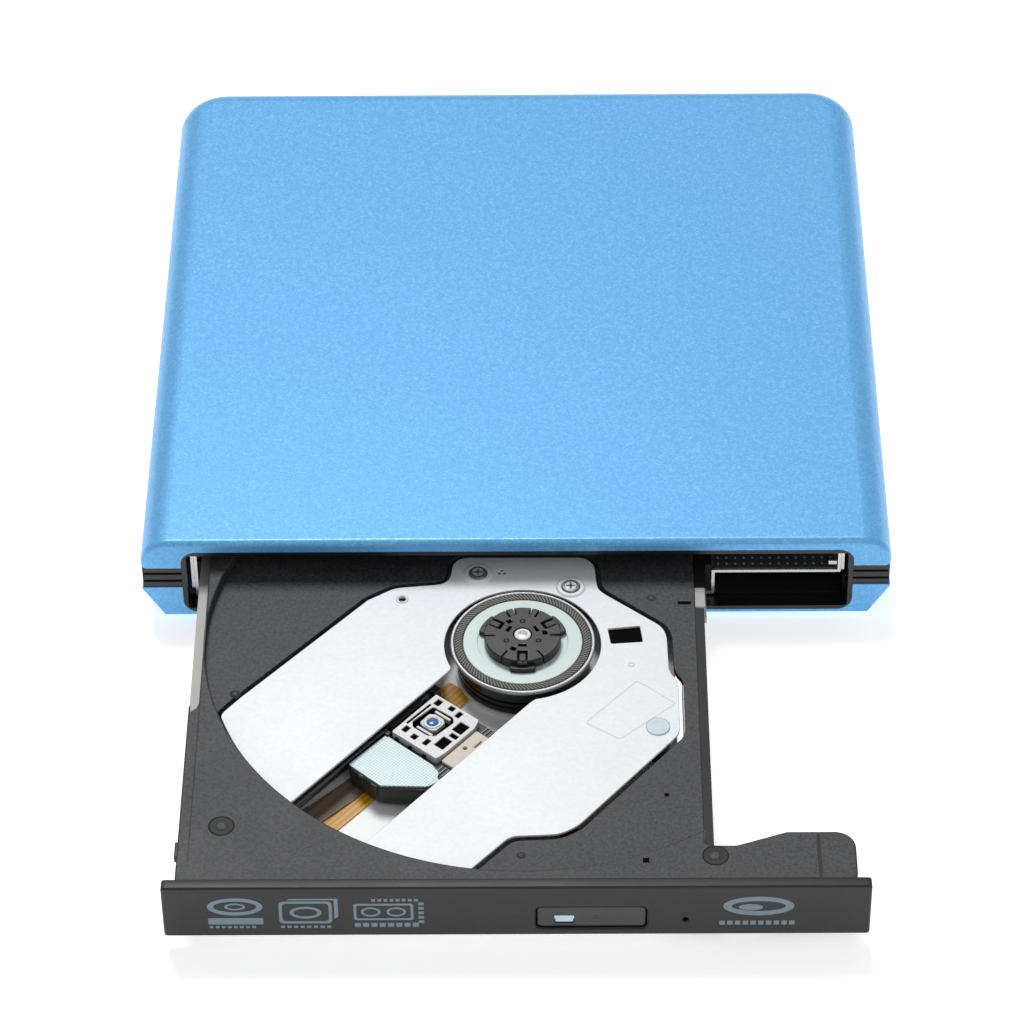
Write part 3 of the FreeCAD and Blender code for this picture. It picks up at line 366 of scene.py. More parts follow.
class Finishes:
    """Every finish of the drive, by what it covers."""

    SHELL = Finish("pearl_blue", (0.100, 0.370, 0.80), (0.240, 0.640, 1.0), 0.40, 0.25, 0.05,
                   Surface.PEARL, 3400.0, 0.8, 0.08, 0.03, 0.00001, shine=0.35)
    BAND = Finish("band_black", (0.006, 0.006, 0.007), (0.020, 0.020, 0.022), 0.42)
    FRAME = Finish("frame_black", (0.003, 0.003, 0.003), (0.012, 0.012, 0.013), 0.30,
                   rough_swing=0.05)
    FOOT = Finish("foot_rubber", (0.015, 0.015, 0.015), (0.04, 0.04, 0.04), 0.8, size=1800.0,
                  bump=0.4)
    SCREW = Finish("screw_steel", (0.46, 0.50, 0.52), (0.74, 0.78, 0.80), 0.42, 0.35,
                   surface=Surface.BRUSHED)
    BOARD = Finish("board_green", (0.01, 0.09, 0.04), (0.03, 0.20, 0.09), 0.35, coat=0.3,
                   size=900.0)
    CHIP = Finish("chip_black", (0.012, 0.012, 0.013), (0.035, 0.035, 0.036), 0.55)
    STEEL = Finish("case_steel", (0.50, 0.50, 0.49), (0.82, 0.82, 0.80), 0.28, 0.9,
                   surface=Surface.BRUSHED, size=2600.0)
    RAIL = Finish("rail_steel", (0.30, 0.295, 0.28), (0.46, 0.455, 0.43), 0.48, 0.30,
                  surface=Surface.BRUSHED, size=2600.0)
    LINER = Finish("liner_dark", (0.018, 0.026, 0.034), (0.045, 0.060, 0.070), 0.5)
    DIMPLE = Finish("dimple_pale", (0.20, 0.24, 0.26), (0.34, 0.38, 0.40), 0.5)
    # Black plastic of the rail guides; the same black is also painted shade in the open bay beside
    # the tray.
    GUIDE_BLACK_AND_BAY_SHADE = Finish("guide_black_and_bay_shade", (0.006, 0.006, 0.006), (0.016, 0.016, 0.016), 0.55, shine=0.15)
    TRAY = Finish("tray_graphite", (0.010, 0.011, 0.013), (0.060, 0.062, 0.067), 0.52, 0.0, 0.0,
                  Surface.MOULDED, 1700.0, 3.0, 0.10, 0.35, 0.00004)
    # Painted shade: a darker copy of the tray plastic, laid in its grooves and screw pits and under
    # its right flange.
    TRAY_CREASE_SHADE = Finish("tray_crease_shade", (0.010, 0.010, 0.011), (0.028, 0.029, 0.031), 0.5, shine=0.3)
    BEZEL = Finish("bezel_black", (0.003, 0.003, 0.0026), (0.012, 0.012, 0.0110), 0.46, 0.0, 0.0,
                   Surface.MOULDED, 2600.0, 1.6, 0.08, 0.3, 0.00003)
    BUTTON = Finish("button_black", (0.022, 0.022, 0.022), (0.05, 0.05, 0.05), 0.35)
    PRINT = Finish("print_grey", (0.14, 0.20, 0.245), (0.19, 0.265, 0.32), 0.5, size=1500.0,
                   bump=0.02)
    LED = Finish("led_window", (0.36, 0.50, 0.60), (0.58, 0.72, 0.80), 0.25, 0.0, 0.4, size=900.0,
                 bump=0.03, glow=0.15)
    PLATE = Finish("plate_satin", (0.69, 0.73, 0.75), (0.82, 0.86, 0.875), 0.42, 0.15, 0.0,
                   Surface.MOULDED, 1100.0, 1.3, 0.10, 0.16, 0.00003)
    # Bright metal under the tray and motor, partly its own pale finish and partly a painted
    # reflection of the light, which brings it close to white.
    FLOOR_PLATE_AND_REFLECTION = Finish("floor_plate_painted_reflection", (0.84, 0.85, 0.86), (0.97, 0.97, 0.97), 0.38, 0.1,
                         surface=Surface.BRUSHED)
    MARKING = Finish("plate_marking", (0.70, 0.74, 0.76), (0.78, 0.82, 0.84), 0.45)
    # Painted shade: dark grey for the shaded recesses of the screws' crosses.
    CROSS_SHADE = Finish("screw_cross_shade", (0.10, 0.11, 0.12), (0.19, 0.205, 0.215), 0.5)
    CASTING = Finish("dark_casting", (0.020, 0.021, 0.022), (0.060, 0.062, 0.064), 0.45, 0.3)
    GLOSS_BLACK = Finish("motor_gloss", (0.010, 0.011, 0.012), (0.040, 0.042, 0.045), 0.22, 0.6,
                         rough_swing=0.05, bump=0.05)
    COPPER = Finish("copper_wire", (0.35, 0.12, 0.04), (0.62, 0.28, 0.10), 0.35, 0.8,
                    surface=Surface.BRUSHED)
    RIM = Finish("table_rim", (0.40, 0.42, 0.43), (0.62, 0.64, 0.64), 0.28, 0.5,
                 surface=Surface.BRUSHED)
    GRIP = Finish("grip_rubber", (0.016, 0.015, 0.013), (0.042, 0.040, 0.035), 0.65)
    # Painted highlight: a much lighter copy of the grip rubber, for the lit crests of its ribs.
    RIB_HIGHLIGHT = Finish("grip_rib_highlight", (0.170, 0.162, 0.145), (0.260, 0.250, 0.225), 0.6)
    TABLE = Finish("table_pale", (0.50, 0.60, 0.58), (0.62, 0.72, 0.70), 0.40, 0.2, bump=0.05)
    HUB = Finish("hub_black", (0.006, 0.006, 0.0065), (0.024, 0.024, 0.026), 0.33, rough_swing=0.06)
    # Painted shade: dead black standing in for the dark inside holes, pits and the well under the
    # lens frame.
    HOLE_SHADE = Finish("painted_hole_shade", (0.002, 0.002, 0.002), (0.005, 0.005, 0.005), 0.8, shine=0.04)
    # Painted shade: dead black laid over the right rail where it runs back into the dark housing.
    SHADE = Finish("rail_painted_shade", (0.006, 0.006, 0.006), (0.016, 0.016, 0.016), 0.6, shine=0.1)
    SCREW_RIM = Finish("screw_rim", (0.10, 0.11, 0.115), (0.24, 0.25, 0.26), 0.35, 0.6,
                       surface=Surface.BRUSHED)
    FLUSH = Finish("screw_flush", (0.44, 0.53, 0.56), (0.62, 0.71, 0.74), 0.4, 0.2)
    WHITE = Finish("ring_white", (0.78, 0.79, 0.78), (0.92, 0.92, 0.91), 0.35, bump=0.03)
    SHAFT = Finish("shaft_steel", (0.40, 0.40, 0.39), (0.62, 0.62, 0.61), 0.25, 0.85,
                   surface=Surface.BRUSHED)
    GUN = Finish("guide_shaft", (0.075, 0.085, 0.092), (0.16, 0.175, 0.185), 0.25, 0.85,
                 surface=Surface.BRUSHED)
    NICKEL = Finish("yoke_nickel", (0.42, 0.42, 0.43), (0.62, 0.62, 0.63), 0.34, 0.25,
                    surface=Surface.MOULDED, size=1500.0, bump=0.05)
    BEIGE = Finish("side_cream", (0.66, 0.58, 0.48), (0.82, 0.75, 0.64), 0.42, bump=0.04)
    NET = Finish("cover_net", (0.30, 0.44, 0.47), (0.74, 0.86, 0.87), 0.35, 0.15,
                 surface=Surface.GRID, size=1850.0, spread=0.85, bump=0.25)
    LENS = Finish("lens_blue", (0.015, 0.13, 0.42), (0.06, 0.34, 0.80), 0.08, 0.0, 0.9, size=500.0,
                  bump=0.0, clear=0.25)
    ORANGE = Finish("ribbon_orange", (0.52, 0.20, 0.008), (0.86, 0.46, 0.03), 0.32,
                    surface=Surface.TRACKS, size=900.0, bump=0.2)
    BROWN = Finish("ribbon_brown", (0.12, 0.085, 0.06), (0.24, 0.18, 0.13), 0.40,
                   surface=Surface.TRACKS, size=420.0, bump=0.1)


# ---------------------------------------------------------------- outlines


class Outline:
    """Plane outlines in millimetres."""

    @staticmethod
    def box(x0: float, x1: float, y0: float, y1: float) -> Loop:
        """Gives an upright rectangle."""
        return [(x0, y0), (x1, y0), (x1, y1), (x0, y1)]

    @staticmethod
    def circle(x: float, y: float, rx: float, ry: Optional[float] = None, count: int = 48) -> Loop:
        """Gives a circle, or an ellipse where a second radius is given.

        Args:
            x: the centre's X.
            y: the centre's Y.
            rx: the radius along X.
            ry: the radius along Y, where it differs.
            count: how many points.

        Returns:
            The outline.
        """
        ry = rx if ry is None else ry
        return [(x + rx * math.cos(2 * math.pi * i / count), y + ry
                 * math.sin(2 * math.pi * i / count)) for i in range(count)]

    @staticmethod
    def arc(x: float, y: float, radius: float, start: float, stop: float, count: int) -> Loop:
        """Gives points on an arc between two angles in degrees.

        Args:
            x: the centre's X.
            y: the centre's Y.
            radius: the arc's radius.
            start: the first angle.
            stop: the last angle.
            count: how many steps; none gives the first point alone.

        Returns:
            The points.
        """
        turns = [math.radians(start + (stop - start) * i / max(count, 1)) for i in range(count + 1)]
        return [(x + radius * math.cos(turn), y + radius * math.sin(turn)) for turn in turns]

    @staticmethod
    def rounded(points: Sequence[Point], radius: float, steps: int = 5) -> Loop:
        """Rounds the corners of an outline.

        Args:
            points: the corners in order.
            radius: how far back along each side the round starts, at most.
            steps: how many short sides make one round.

        Returns:
            The rounded outline.
        """
        out: Loop = []
        count = len(points)
        for i in range(count):
            a, b, c = Vector(points[i - 1]), Vector(points[i]), Vector(points[(i + 1) % count])
            before, after = (a - b), (c - b)
            straight = before.normalized().dot(after.normalized()) < -0.96
            if straight or radius <= 0:
                out.append((b.x, b.y))
                continue
            p = b + before.normalized() * min(radius, before.length * 0.48)
            q = b + after.normalized() * min(radius, after.length * 0.48)
            for k in range(steps + 1):
                s = k / steps
                v = p * (1 - s) ** 2 + b * 2 * s * (1 - s) + q * s ** 2
                out.append((v.x, v.y))
        return out

    @staticmethod
    def grown(points: Sequence[Point], gap: float) -> Loop:
        """Moves an anticlockwise outline outward by a gap.

        Args:
            points: the outline.
            gap: how far it moves, inward where negative.

        Returns:
            The moved outline.
        """
        moved: Loop = []
        count = len(points)
        for i in range(count):
            a, b, c = Vector(points[i - 1]), Vector(points[i]), Vector(points[(i + 1) % count])
            u, v = (b - a).normalized(), (c - b).normalized()
            n = Vector((u.y + v.y, -u.x - v.x))
            moved.append(tuple(b + n * (2 * gap / max(n.length_squared, 0.2))))
        return moved

    @staticmethod
    def clipped(points: Sequence[Point], limit: float, steps: int = 40) -> Loop:
        """Keeps the part of an outline inside a circle about the origin.

        Args:
            points: an anticlockwise outline that leaves the circle once.
            limit: the circle's radius.
            steps: how many short sides close the outline along the circle.

        Returns:
            The closed outline.
        """
        count = len(points)
        within = [math.hypot(*point) < limit for point in points]
        start = next(i for i in range(count) if within[i] and not within[i - 1])
        kept: Loop = []
        i = start
        while within[i % count]:
            kept.append(tuple(points[i % count]))
            i += 1

        def crossing(outside: Point, inside: Point) -> Point:
            """Finds where a side crosses the circle.

            Args:
                outside: the side's end beyond the circle.
                inside: its end within the circle.

            Returns:
                The crossing point.
            """
            for _ in range(40):
                middle = ((outside[0] + inside[0]) / 2, (outside[1] + inside[1]) / 2)
                if math.hypot(*middle) < limit:
                    inside = middle
                else:
                    outside = middle
            return inside

        leave, enter = crossing(points[i % count], kept[-1]), crossing(points[start - 1], kept[0])
        a0 = math.degrees(math.atan2(leave[1], leave[0]))
        a1 = math.degrees(math.atan2(enter[1], enter[0]))
        return kept + Outline.arc(0, 0, limit, a0, a1, steps)


# ---------------------------------------------------------------- meshes


@dataclass(frozen=True)
class Place:
    """Local axes in millimetres: an origin in the frame and a turn about Z."""

    x: float = 0.0
    y: float = 0.0
    turn: float = 0.0

    def matrix(self) -> Matrix:
        """Gives the matrix from local millimetres to the frame's metres."""
        return (Matrix.Scale(MM, 4) @ Matrix.Translation((self.x, self.y, 0.0))
                @ Matrix.Rotation(math.radians(self.turn), 4, "Z"))

    def turned(self, angle: float) -> "Place":
        """Gives the same origin with more turn."""
        return Place(self.x, self.y, self.turn + angle)


class Maker:
    """Makes meshes in local millimetres."""

    @staticmethod
    def _clean(mesh: bpy.types.Mesh) -> bpy.types.Mesh:
        """Merges doubled points and points every face outward.

        Args:
            mesh: the mesh, changed in place.

        Returns:
            The same mesh.
        """
        work = bmesh.new()
        work.from_mesh(mesh)
        bmesh.ops.remove_doubles(work, verts=work.verts, dist=TINY)
        bmesh.ops.recalc_face_normals(work, faces=work.faces)
        work.to_mesh(mesh)
        work.free()
        return mesh

    @staticmethod
    def _ease(mesh: bpy.types.Mesh) -> bpy.types.Mesh:
        """Shades everything smooth but the level faces.

        Args:
            mesh: the mesh, changed in place.

        Returns:
            The same mesh.
        """
        for polygon in mesh.polygons:
            polygon.use_smooth = abs(polygon.normal.z) < 0.999
        return mesh

    @staticmethod
    def flat(loops: Sequence[Loop], z0: float, z1: float, bevel: float = 0.1) -> bpy.types.Mesh:
        """Makes a flat plate from an outline and its holes, with eased edges.

        Args:
            loops: the outline first, then its holes.
            z0: the lower level.
            z1: the upper level.
            bevel: how much the edges are eased.

        Returns:
            The mesh.
        """
        bevel = min(bevel, (z1 - z0) * 0.45)
        curve = bpy.data.curves.new("plate", "CURVE")
        curve.dimensions = "2D"
        curve.fill_mode = "BOTH"
        curve.extrude = (z1 - z0) / 2 - bevel
        curve.bevel_depth = bevel
        curve.bevel_resolution = 2
        curve.offset = -bevel
        for loop in loops:
            spline = curve.splines.new("POLY")
            spline.points.add(len(loop) - 1)
            for point, (x, y) in zip(spline.points, loop):
                point.co = (x, y, 0.0, 1.0)
            spline.use_cyclic_u = True
        holder = bpy.data.objects.new("plate", curve)
        bpy.context.scene.collection.objects.link(holder)
        graph = bpy.context.evaluated_depsgraph_get()
        mesh = bpy.data.meshes.new_from_object(holder.evaluated_get(graph))
        bpy.data.objects.remove(holder)
        bpy.data.curves.remove(curve)
        mesh.transform(Matrix.Translation((0.0, 0.0, (z0 + z1) / 2)))
        return Maker._ease(Maker._clean(mesh))

    @staticmethod
    def upright(loops: Sequence[Loop], y0: float, y1: float, bevel: float = 0.1) -> bpy.types.Mesh:
        """Makes a plate standing in X and Z between two depths.

        Args:
            loops: the outline first, then its holes, in X and Z.
            y0: the nearer depth.
            y1: the farther depth.
            bevel: how much the edges are eased.

        Returns:
            The mesh.
        """
        mesh = Maker.flat(loops, -y1, -y0, bevel)
        mesh.transform(Matrix.Rotation(math.pi / 2, 4, "X"))
        return mesh

    @staticmethod
    def block(x0: float, x1: float, y0: float, y1: float, z0: float, z1: float, bevel: float = 0.15,
              segments: int = 2) -> bpy.types.Mesh:
        """Makes a block with eased edges.

        Args:
            x0: lowest X.
            x1: highest X.
            y0: lowest Y.
            y1: highest Y.
            z0: lowest Z.
            z1: highest Z.
            bevel: how much the edges are eased.
            segments: how many faces make one eased edge.

        Returns:
            The mesh.
        """
        mesh = bpy.data.meshes.new("block")
        work = bmesh.new()
        size = Vector((x1 - x0, y1 - y0, z1 - z0))
        centre = Vector((x0 + x1, y0 + y1, z0 + z1)) / 2
        bmesh.ops.create_cube(work, size=1.0,
                              matrix=Matrix.Translation(centre) @ Matrix.Diagonal((*size, 1.0)))
        if bevel > 0:
            bmesh.ops.bevel(work, geom=work.edges[:], offset=min(bevel, min(size) * 0.45),
                            segments=segments, affect="EDGES", profile=0.5)
        bmesh.ops.recalc_face_normals(work, faces=work.faces)
        work.to_mesh(mesh)
        work.free()
        return mesh

    @staticmethod
    def turned(profile: Sequence[Point], count: int = 96, x: float = 0.0,
               y: float = 0.0) -> bpy.types.Mesh:
        """Turns a closed or axis-to-axis profile of (radius, height) about an upright axis.

        Args:
            profile: points of (radius, height) in order.
            count: how many faces go round.
            x: the axis's X.
            y: the axis's Y.

        Returns:
            The mesh.
        """
        mesh = bpy.data.meshes.new("turned")
        work = bmesh.new()
        closed = profile[0][0] > 1e-6
        rings = []
        for radius, height in profile:
            if radius < 1e-6:
                rings.append([work.verts.new((x, y, height))])
            else:
                rings.append([work.verts.new((x + radius * math.cos(2 * math.pi * i / count), y
                                              + radius * math.sin(2 * math.pi * i / count), height))
                              for i in range(count)])
        pairs = list(zip(rings, rings[1:]))
        if closed:
            pairs.append((rings[-1], rings[0]))
        for lower, upper in pairs:
            for i in range(count):
                j = (i + 1) % count
                corners = []
                for ring, index in ((lower, i), (lower, j), (upper, j), (upper, i)):
                    vert = ring[index] if len(ring) > 1 else ring[0]
                    if vert not in corners:
                        corners.append(vert)
                if len(corners) > 2:
                    work.faces.new(corners)
        bmesh.ops.recalc_face_normals(work, faces=work.faces)
        work.to_mesh(mesh)
        work.free()
        return Maker._ease(mesh)

    @staticmethod
    def ribbon(points: Sequence[Spot], thick: float) -> bpy.types.Mesh:
        """Makes a flat ribbon along points of (x, y, z, half width), level across.

        Args:
            points: x, y, z and half the width at each point.
            thick: the ribbon's thickness.

        Returns:
            The mesh.
        """
        mesh = bpy.data.meshes.new("ribbon")
        work = bmesh.new()
        rows = []
        count = len(points)
        for i, (x, y, z, half) in enumerate(points):
            before, after = points[max(i - 1, 0)], points[min(i + 1, count - 1)]
            along = Vector((after[0] - before[0], after[1] - before[1])).normalized()
            side = Vector((-along.y, along.x)) * half
            rows.append([work.verts.new((x + s * side.x, y + s * side.y, z + t))
                         for s, t in ((-1, 0), (1, 0), (1, thick), (-1, thick))])
        for a, b in zip(rows, rows[1:]):
            for k in range(4):
                work.faces.new((a[k], a[(k + 1) % 4], b[(k + 1) % 4], b[k]))
        work.faces.new(rows[0])
        work.faces.new(rows[-1])
        bmesh.ops.recalc_face_normals(work, faces=work.faces)
        work.to_mesh(mesh)
        work.free()
        return mesh

    @staticmethod
    def rod(x0: float, x1: float, y: float, z: float, radius: float,
            count: int = 24) -> bpy.types.Mesh:
        """Makes a rod lying along X with eased ends.

        Args:
            x0: where it starts.
            x1: where it ends.
            y: the axis's Y.
            z: the axis's Z.
            radius: the rod's radius.
            count: how many faces go round.

        Returns:
            The mesh.
        """
        length = x1 - x0
        ease = min(radius * 0.25, length * 0.2)
        mesh = Maker.turned([(0, 0), (radius - ease, 0), (radius, ease), (radius, length - ease),
                             (radius - ease, length), (0, length)], count)
        mesh.transform(Matrix.Translation((x0, y, z)) @ Matrix.Rotation(math.pi / 2, 4, "Y"))
        return mesh


class Workshop:
    """Puts finished meshes into the scene as named pieces."""

    def __init__(self) -> None:
        """Starts with nothing made."""
        self.made: List[str] = []

    def piece(self, name: str, meshes: Sequence[bpy.types.Mesh], place: Place, body: str,
              finish: Finish, replaces: Sequence[str] = (),
              smooth: float = 35.0) -> bpy.types.Object:
        """Joins meshes into one piece that rides on a body.

        Args:
            name: the piece's name.
            meshes: meshes in local millimetres.
            place: the local axes.
            body: the CAD body it moves with.
            finish: its finish.
            replaces: the CAD nodes it stands for.
            smooth: the sharpest angle that is shaded smooth, in degrees.

        Returns:
            The new object.
        """
        whole = bpy.data.meshes.new(name)
        work = bmesh.new()
        for mesh in meshes:
            work.from_mesh(mesh)
            bpy.data.meshes.remove(mesh)
        work.to_mesh(whole)
        work.free()
        whole.transform(place.matrix())
        whole.materials.clear()
        whole.materials.append(finish.material())
        for polygon in whole.polygons:
            polygon.material_index = 0
        self._shade(whole, smooth)
        made = bpy.data.objects.new(name, whole)
        bpy.context.scene.collection.objects.link(made)
        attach(made, body)
        if replaces:
            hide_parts(*replaces)
        self.made.append(name)
        LOG.info("made %s with %d faces", name, len(whole.polygons))
        return made

    @staticmethod
    def _shade(mesh: bpy.types.Mesh, angle: float) -> None:
        """Marks the sharper edges of the smooth faces.

        Args:
            mesh: the mesh, changed in place.
            angle: the sharpest angle that is shaded smooth, in degrees.
        """
        work = bmesh.new()
        work.from_mesh(mesh)
        limit = math.radians(angle)
        for edge in work.edges:
            edge.smooth = len(edge.link_faces) == 2 and edge.calc_face_angle(0.0) < limit
        work.to_mesh(mesh)
        work.free()

    def dress(self, finish: Finish, *nodes: str) -> None:
        """Gives CAD nodes a finish.

        Args:
            finish: the finish.
            nodes: the nodes' names.
        """
        for name in nodes:
            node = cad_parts[name]
            node.data.materials.clear()
            node.data.materials.append(finish.material())
            LOG.info("dressed %s in %s", name, finish.name)


class Repeater:
    """Geometry node trees for what repeats, baked to plain meshes."""

    @staticmethod
    def _tree(name: str, inputs: Dict[str, str]) -> Tuple[bpy.types.NodeTree, bpy.types.Node,
                                                          bpy.types.Node]:
        """Makes an empty tree with named inputs.

        Args:
            name: the tree's name.
            inputs: the socket type of each named input.

        Returns:
            The tree, its input node and its output node.
        """
        tree = bpy.data.node_groups.new(name, "GeometryNodeTree")
        tree.interface.new_socket("Geometry", in_out="INPUT", socket_type="NodeSocketGeometry")
        for label, kind in inputs.items():
            tree.interface.new_socket(label, in_out="INPUT", socket_type=kind)
        tree.interface.new_socket("Geometry", in_out="OUTPUT", socket_type="NodeSocketGeometry")
        return tree, tree.nodes.new("NodeGroupInput"), tree.nodes.new("NodeGroupOutput")

    @staticmethod
    def _bake(tree: bpy.types.NodeTree, base: bpy.types.Mesh,
              values: Dict[str, object]) -> bpy.types.Mesh:
        """Runs a tree on a mesh and keeps the plain result.

        Args:
            tree: the geometry node tree.
            base: the mesh it starts from.
            values: the inputs by name.

        Returns:
            The finished mesh.
        """
        holder = bpy.data.objects.new("repeat", base)
        bpy.context.scene.collection.objects.link(holder)
        modifier = holder.modifiers.new("repeat", "NODES")
        modifier.node_group = tree
        for item in tree.interface.items_tree:
            if item.item_type == "SOCKET" and item.in_out == "INPUT" and item.name in values:
                modifier[item.identifier] = values[item.name]
        graph = bpy.context.evaluated_depsgraph_get()
        mesh = bpy.data.meshes.new_from_object(holder.evaluated_get(graph))
        holder.modifiers.remove(modifier)
        bpy.data.objects.remove(holder)
        return mesh

    @staticmethod
    def _close(tree: bpy.types.NodeTree, instances: bpy.types.Node, given: bpy.types.Node,
               out: bpy.types.Node) -> None:
        """Ends a tree in Realize Instances and Set Material.

        Args:
            tree: the tree to end.
            instances: the node that makes the instances.
            given: the tree's input node.
            out: the tree's output node.
        """
        real = tree.nodes.new("GeometryNodeRealizeInstances")
        paint = tree.nodes.new("GeometryNodeSetMaterial")
        tree.links.new(instances.outputs[0], real.inputs[0])
        tree.links.new(real.outputs[0], paint.inputs["Geometry"])
        tree.links.new(given.outputs["Material"], paint.inputs["Material"])
        tree.links.new(paint.outputs[0], out.inputs[0])

    @classmethod
    def net(cls, across: int, along: int, pitch: float, radius: float,
            finish: Finish) -> bpy.types.Mesh:
        """Sets a flattened dome at every crossing of a square net.

        Args:
            across: columns.
            along: rows.
            pitch: distance between neighbours.
            radius: each dome's radius.
            finish: the finish set on the domes.

        Returns:
            The mesh, centred on the origin.
        """
        tree, given, out = cls._tree("dome_net", {"Width": "NodeSocketFloat",
                                                  "Length": "NodeSocketFloat",
                                                  "Across": "NodeSocketInt",
                                                  "Along": "NodeSocketInt",
                                                  "Radius": "NodeSocketFloat",
                                                  "Material": "NodeSocketMaterial"})
        grid = tree.nodes.new("GeometryNodeMeshGrid")
        for label, socket in (("Width", "Size X"), ("Length", "Size Y"), ("Across", "Vertices X"),
                              ("Along", "Vertices Y")):
            tree.links.new(given.outputs[label], grid.inputs[socket])
        dome = tree.nodes.new("GeometryNodeMeshUVSphere")
        dome.inputs["Segments"].default_value = 10
        dome.inputs["Rings"].default_value = 6
        tree.links.new(given.outputs["Radius"], dome.inputs["Radius"])
        place = tree.nodes.new("GeometryNodeInstanceOnPoints")
        place.inputs["Scale"].default_value = (1.0, 1.0, 0.35)
        tree.links.new(grid.outputs["Mesh"], place.inputs["Points"])
        tree.links.new(dome.outputs["Mesh"], place.inputs["Instance"])
        cls._close(tree, place, given, out)
        return cls._bake(tree, bpy.data.meshes.new("start"), {"Width": pitch * (across - 1),
                                                              "Length": pitch * (along - 1),
                                                              "Across": across, "Along": along,
                                                              "Radius": radius,
                                                              "Material": finish.material()})

    @classmethod
    def spokes(cls, count: int, radius: float, size: Tuple[float, float, float], lean: float,
               finish: Finish) -> bpy.types.Mesh:
        """Sets small bars round a circle.

        Args:
            count: how many bars.
            radius: the circle they sit on.
            size: each bar's length, width and height.
            lean: each bar's turn away from the radius, in radians.
            finish: the finish set on the bars.

        Returns:
            The mesh, centred on the origin.
        """
        tree, given, out = cls._tree("spoke_ring", {"Count": "NodeSocketInt",
                                                    "Radius": "NodeSocketFloat",
                                                    "Bar": "NodeSocketVector",
                                                    "Lean": "NodeSocketFloat",
                                                    "Material": "NodeSocketMaterial"})
        circle = tree.nodes.new("GeometryNodeMeshCircle")
        tree.links.new(given.outputs["Count"], circle.inputs["Vertices"])
        tree.links.new(given.outputs["Radius"], circle.inputs["Radius"])
        bar = tree.nodes.new("GeometryNodeMeshCube")
        tree.links.new(given.outputs["Bar"], bar.inputs["Size"])
        index = tree.nodes.new("GeometryNodeInputIndex")
        share = tree.nodes.new("ShaderNodeMath")
        share.operation = "DIVIDE"
        tree.links.new(index.outputs[0], share.inputs[0])
        tree.links.new(given.outputs["Count"], share.inputs[1])
        angle = tree.nodes.new("ShaderNodeMath")
        angle.operation = "MULTIPLY_ADD"
        angle.inputs[1].default_value = 2 * math.pi
        tree.links.new(share.outputs[0], angle.inputs[0])
        tree.links.new(given.outputs["Lean"], angle.inputs[2])
        turn = tree.nodes.new("ShaderNodeCombineXYZ")
        tree.links.new(angle.outputs[0], turn.inputs["Z"])
        place = tree.nodes.new("GeometryNodeInstanceOnPoints")
        tree.links.new(circle.outputs["Mesh"], place.inputs["Points"])
        tree.links.new(bar.outputs["Mesh"], place.inputs["Instance"])
        tree.links.new(turn.outputs[0], place.inputs["Rotation"])
        cls._close(tree, place, given, out)
        return cls._bake(tree, bpy.data.meshes.new("start"), {"Count": count, "Radius": radius,
                                                              "Bar": size, "Lean": lean,
                                                              "Material": finish.material()})

    @classmethod
    def copies(cls, item: bpy.types.Mesh, spots: Sequence[Spot], finish: Finish) -> bpy.types.Mesh:
        """Sets a copy of one mesh at each spot.

        Args:
            item: the mesh to copy.
            spots: x, y, z and scale of each copy.
            finish: the finish set on the copies.

        Returns:
            The mesh of every copy.
        """
        base = bpy.data.meshes.new("spots")
        base.from_pydata([spot[:3] for spot in spots], [], [])
        grade = base.attributes.new("grade", "FLOAT", "POINT")
        for i, spot in enumerate(spots):
            grade.data[i].value = spot[3]
        source = bpy.data.objects.new("source", item)
        bpy.context.scene.collection.objects.link(source)
        tree, given, out = cls._tree("copies", {"Source": "NodeSocketObject",
                                                "Material": "NodeSocketMaterial"})
        info = tree.nodes.new("GeometryNodeObjectInfo")
        tree.links.new(given.outputs["Source"], info.inputs["Object"])
        size = tree.nodes.new("GeometryNodeInputNamedAttribute")
        size.data_type = "FLOAT"
        size.inputs["Name"].default_value = "grade"
        place = tree.nodes.new("GeometryNodeInstanceOnPoints")
        tree.links.new(given.outputs["Geometry"], place.inputs["Points"])
        tree.links.new(info.outputs["Geometry"], place.inputs["Instance"])
        tree.links.new(size.outputs["Attribute"], place.inputs["Scale"])
        cls._close(tree, place, given, out)
        mesh = cls._bake(tree, base, {"Source": source, "Material": finish.material()})
        bpy.data.objects.remove(source)
        return mesh


SHOP = Workshop()


def centre(node: str) -> Tuple[float, float]:
    """Gives the middle of a CAD node in X and Y, in millimetres."""
    low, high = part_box(node)
    return (low.x + high.x) / 2 / MM, (low.y + high.y) / 2 / MM


def low(node: str) -> Vector:
    """Gives a CAD node's lowest corner in millimetres."""
    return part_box(node)[0] / MM


def high(node: str) -> Vector:
    """Gives a CAD node's highest corner in millimetres."""
    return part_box(node)[1] / MM


# ---------------------------------------------------------------- sub-assemblies


@dataclass
class ScrewHead:
    """A small cross-head screw head standing on a level."""

    radius: float = 1.7
    height: float = 0.5

    def head(self) -> bpy.types.Mesh:
        """Makes the head, domed at its edge."""
        r, h = self.radius, self.height
        return Maker.turned([(0, 0), (r, 0), (r, h * 0.5), (r * 0.93, h * 0.85), (r * 0.8, h),
                             (0, h)], 40)

    def cross(self) -> List[bpy.types.Mesh]:
        """Makes the dark cross laid just proud of the head, painted shade standing in for its
        recess.

        Returns:
            One bar along X and one along Y.
        """
        arm, wide, top = self.radius * 0.55, self.radius * 0.13, self.height + 0.01
        return [Maker.block(-arm, arm, -wide, wide, top - 0.1, top, 0),
                Maker.block(-wide, wide, -arm, arm, top - 0.1, top, 0)]


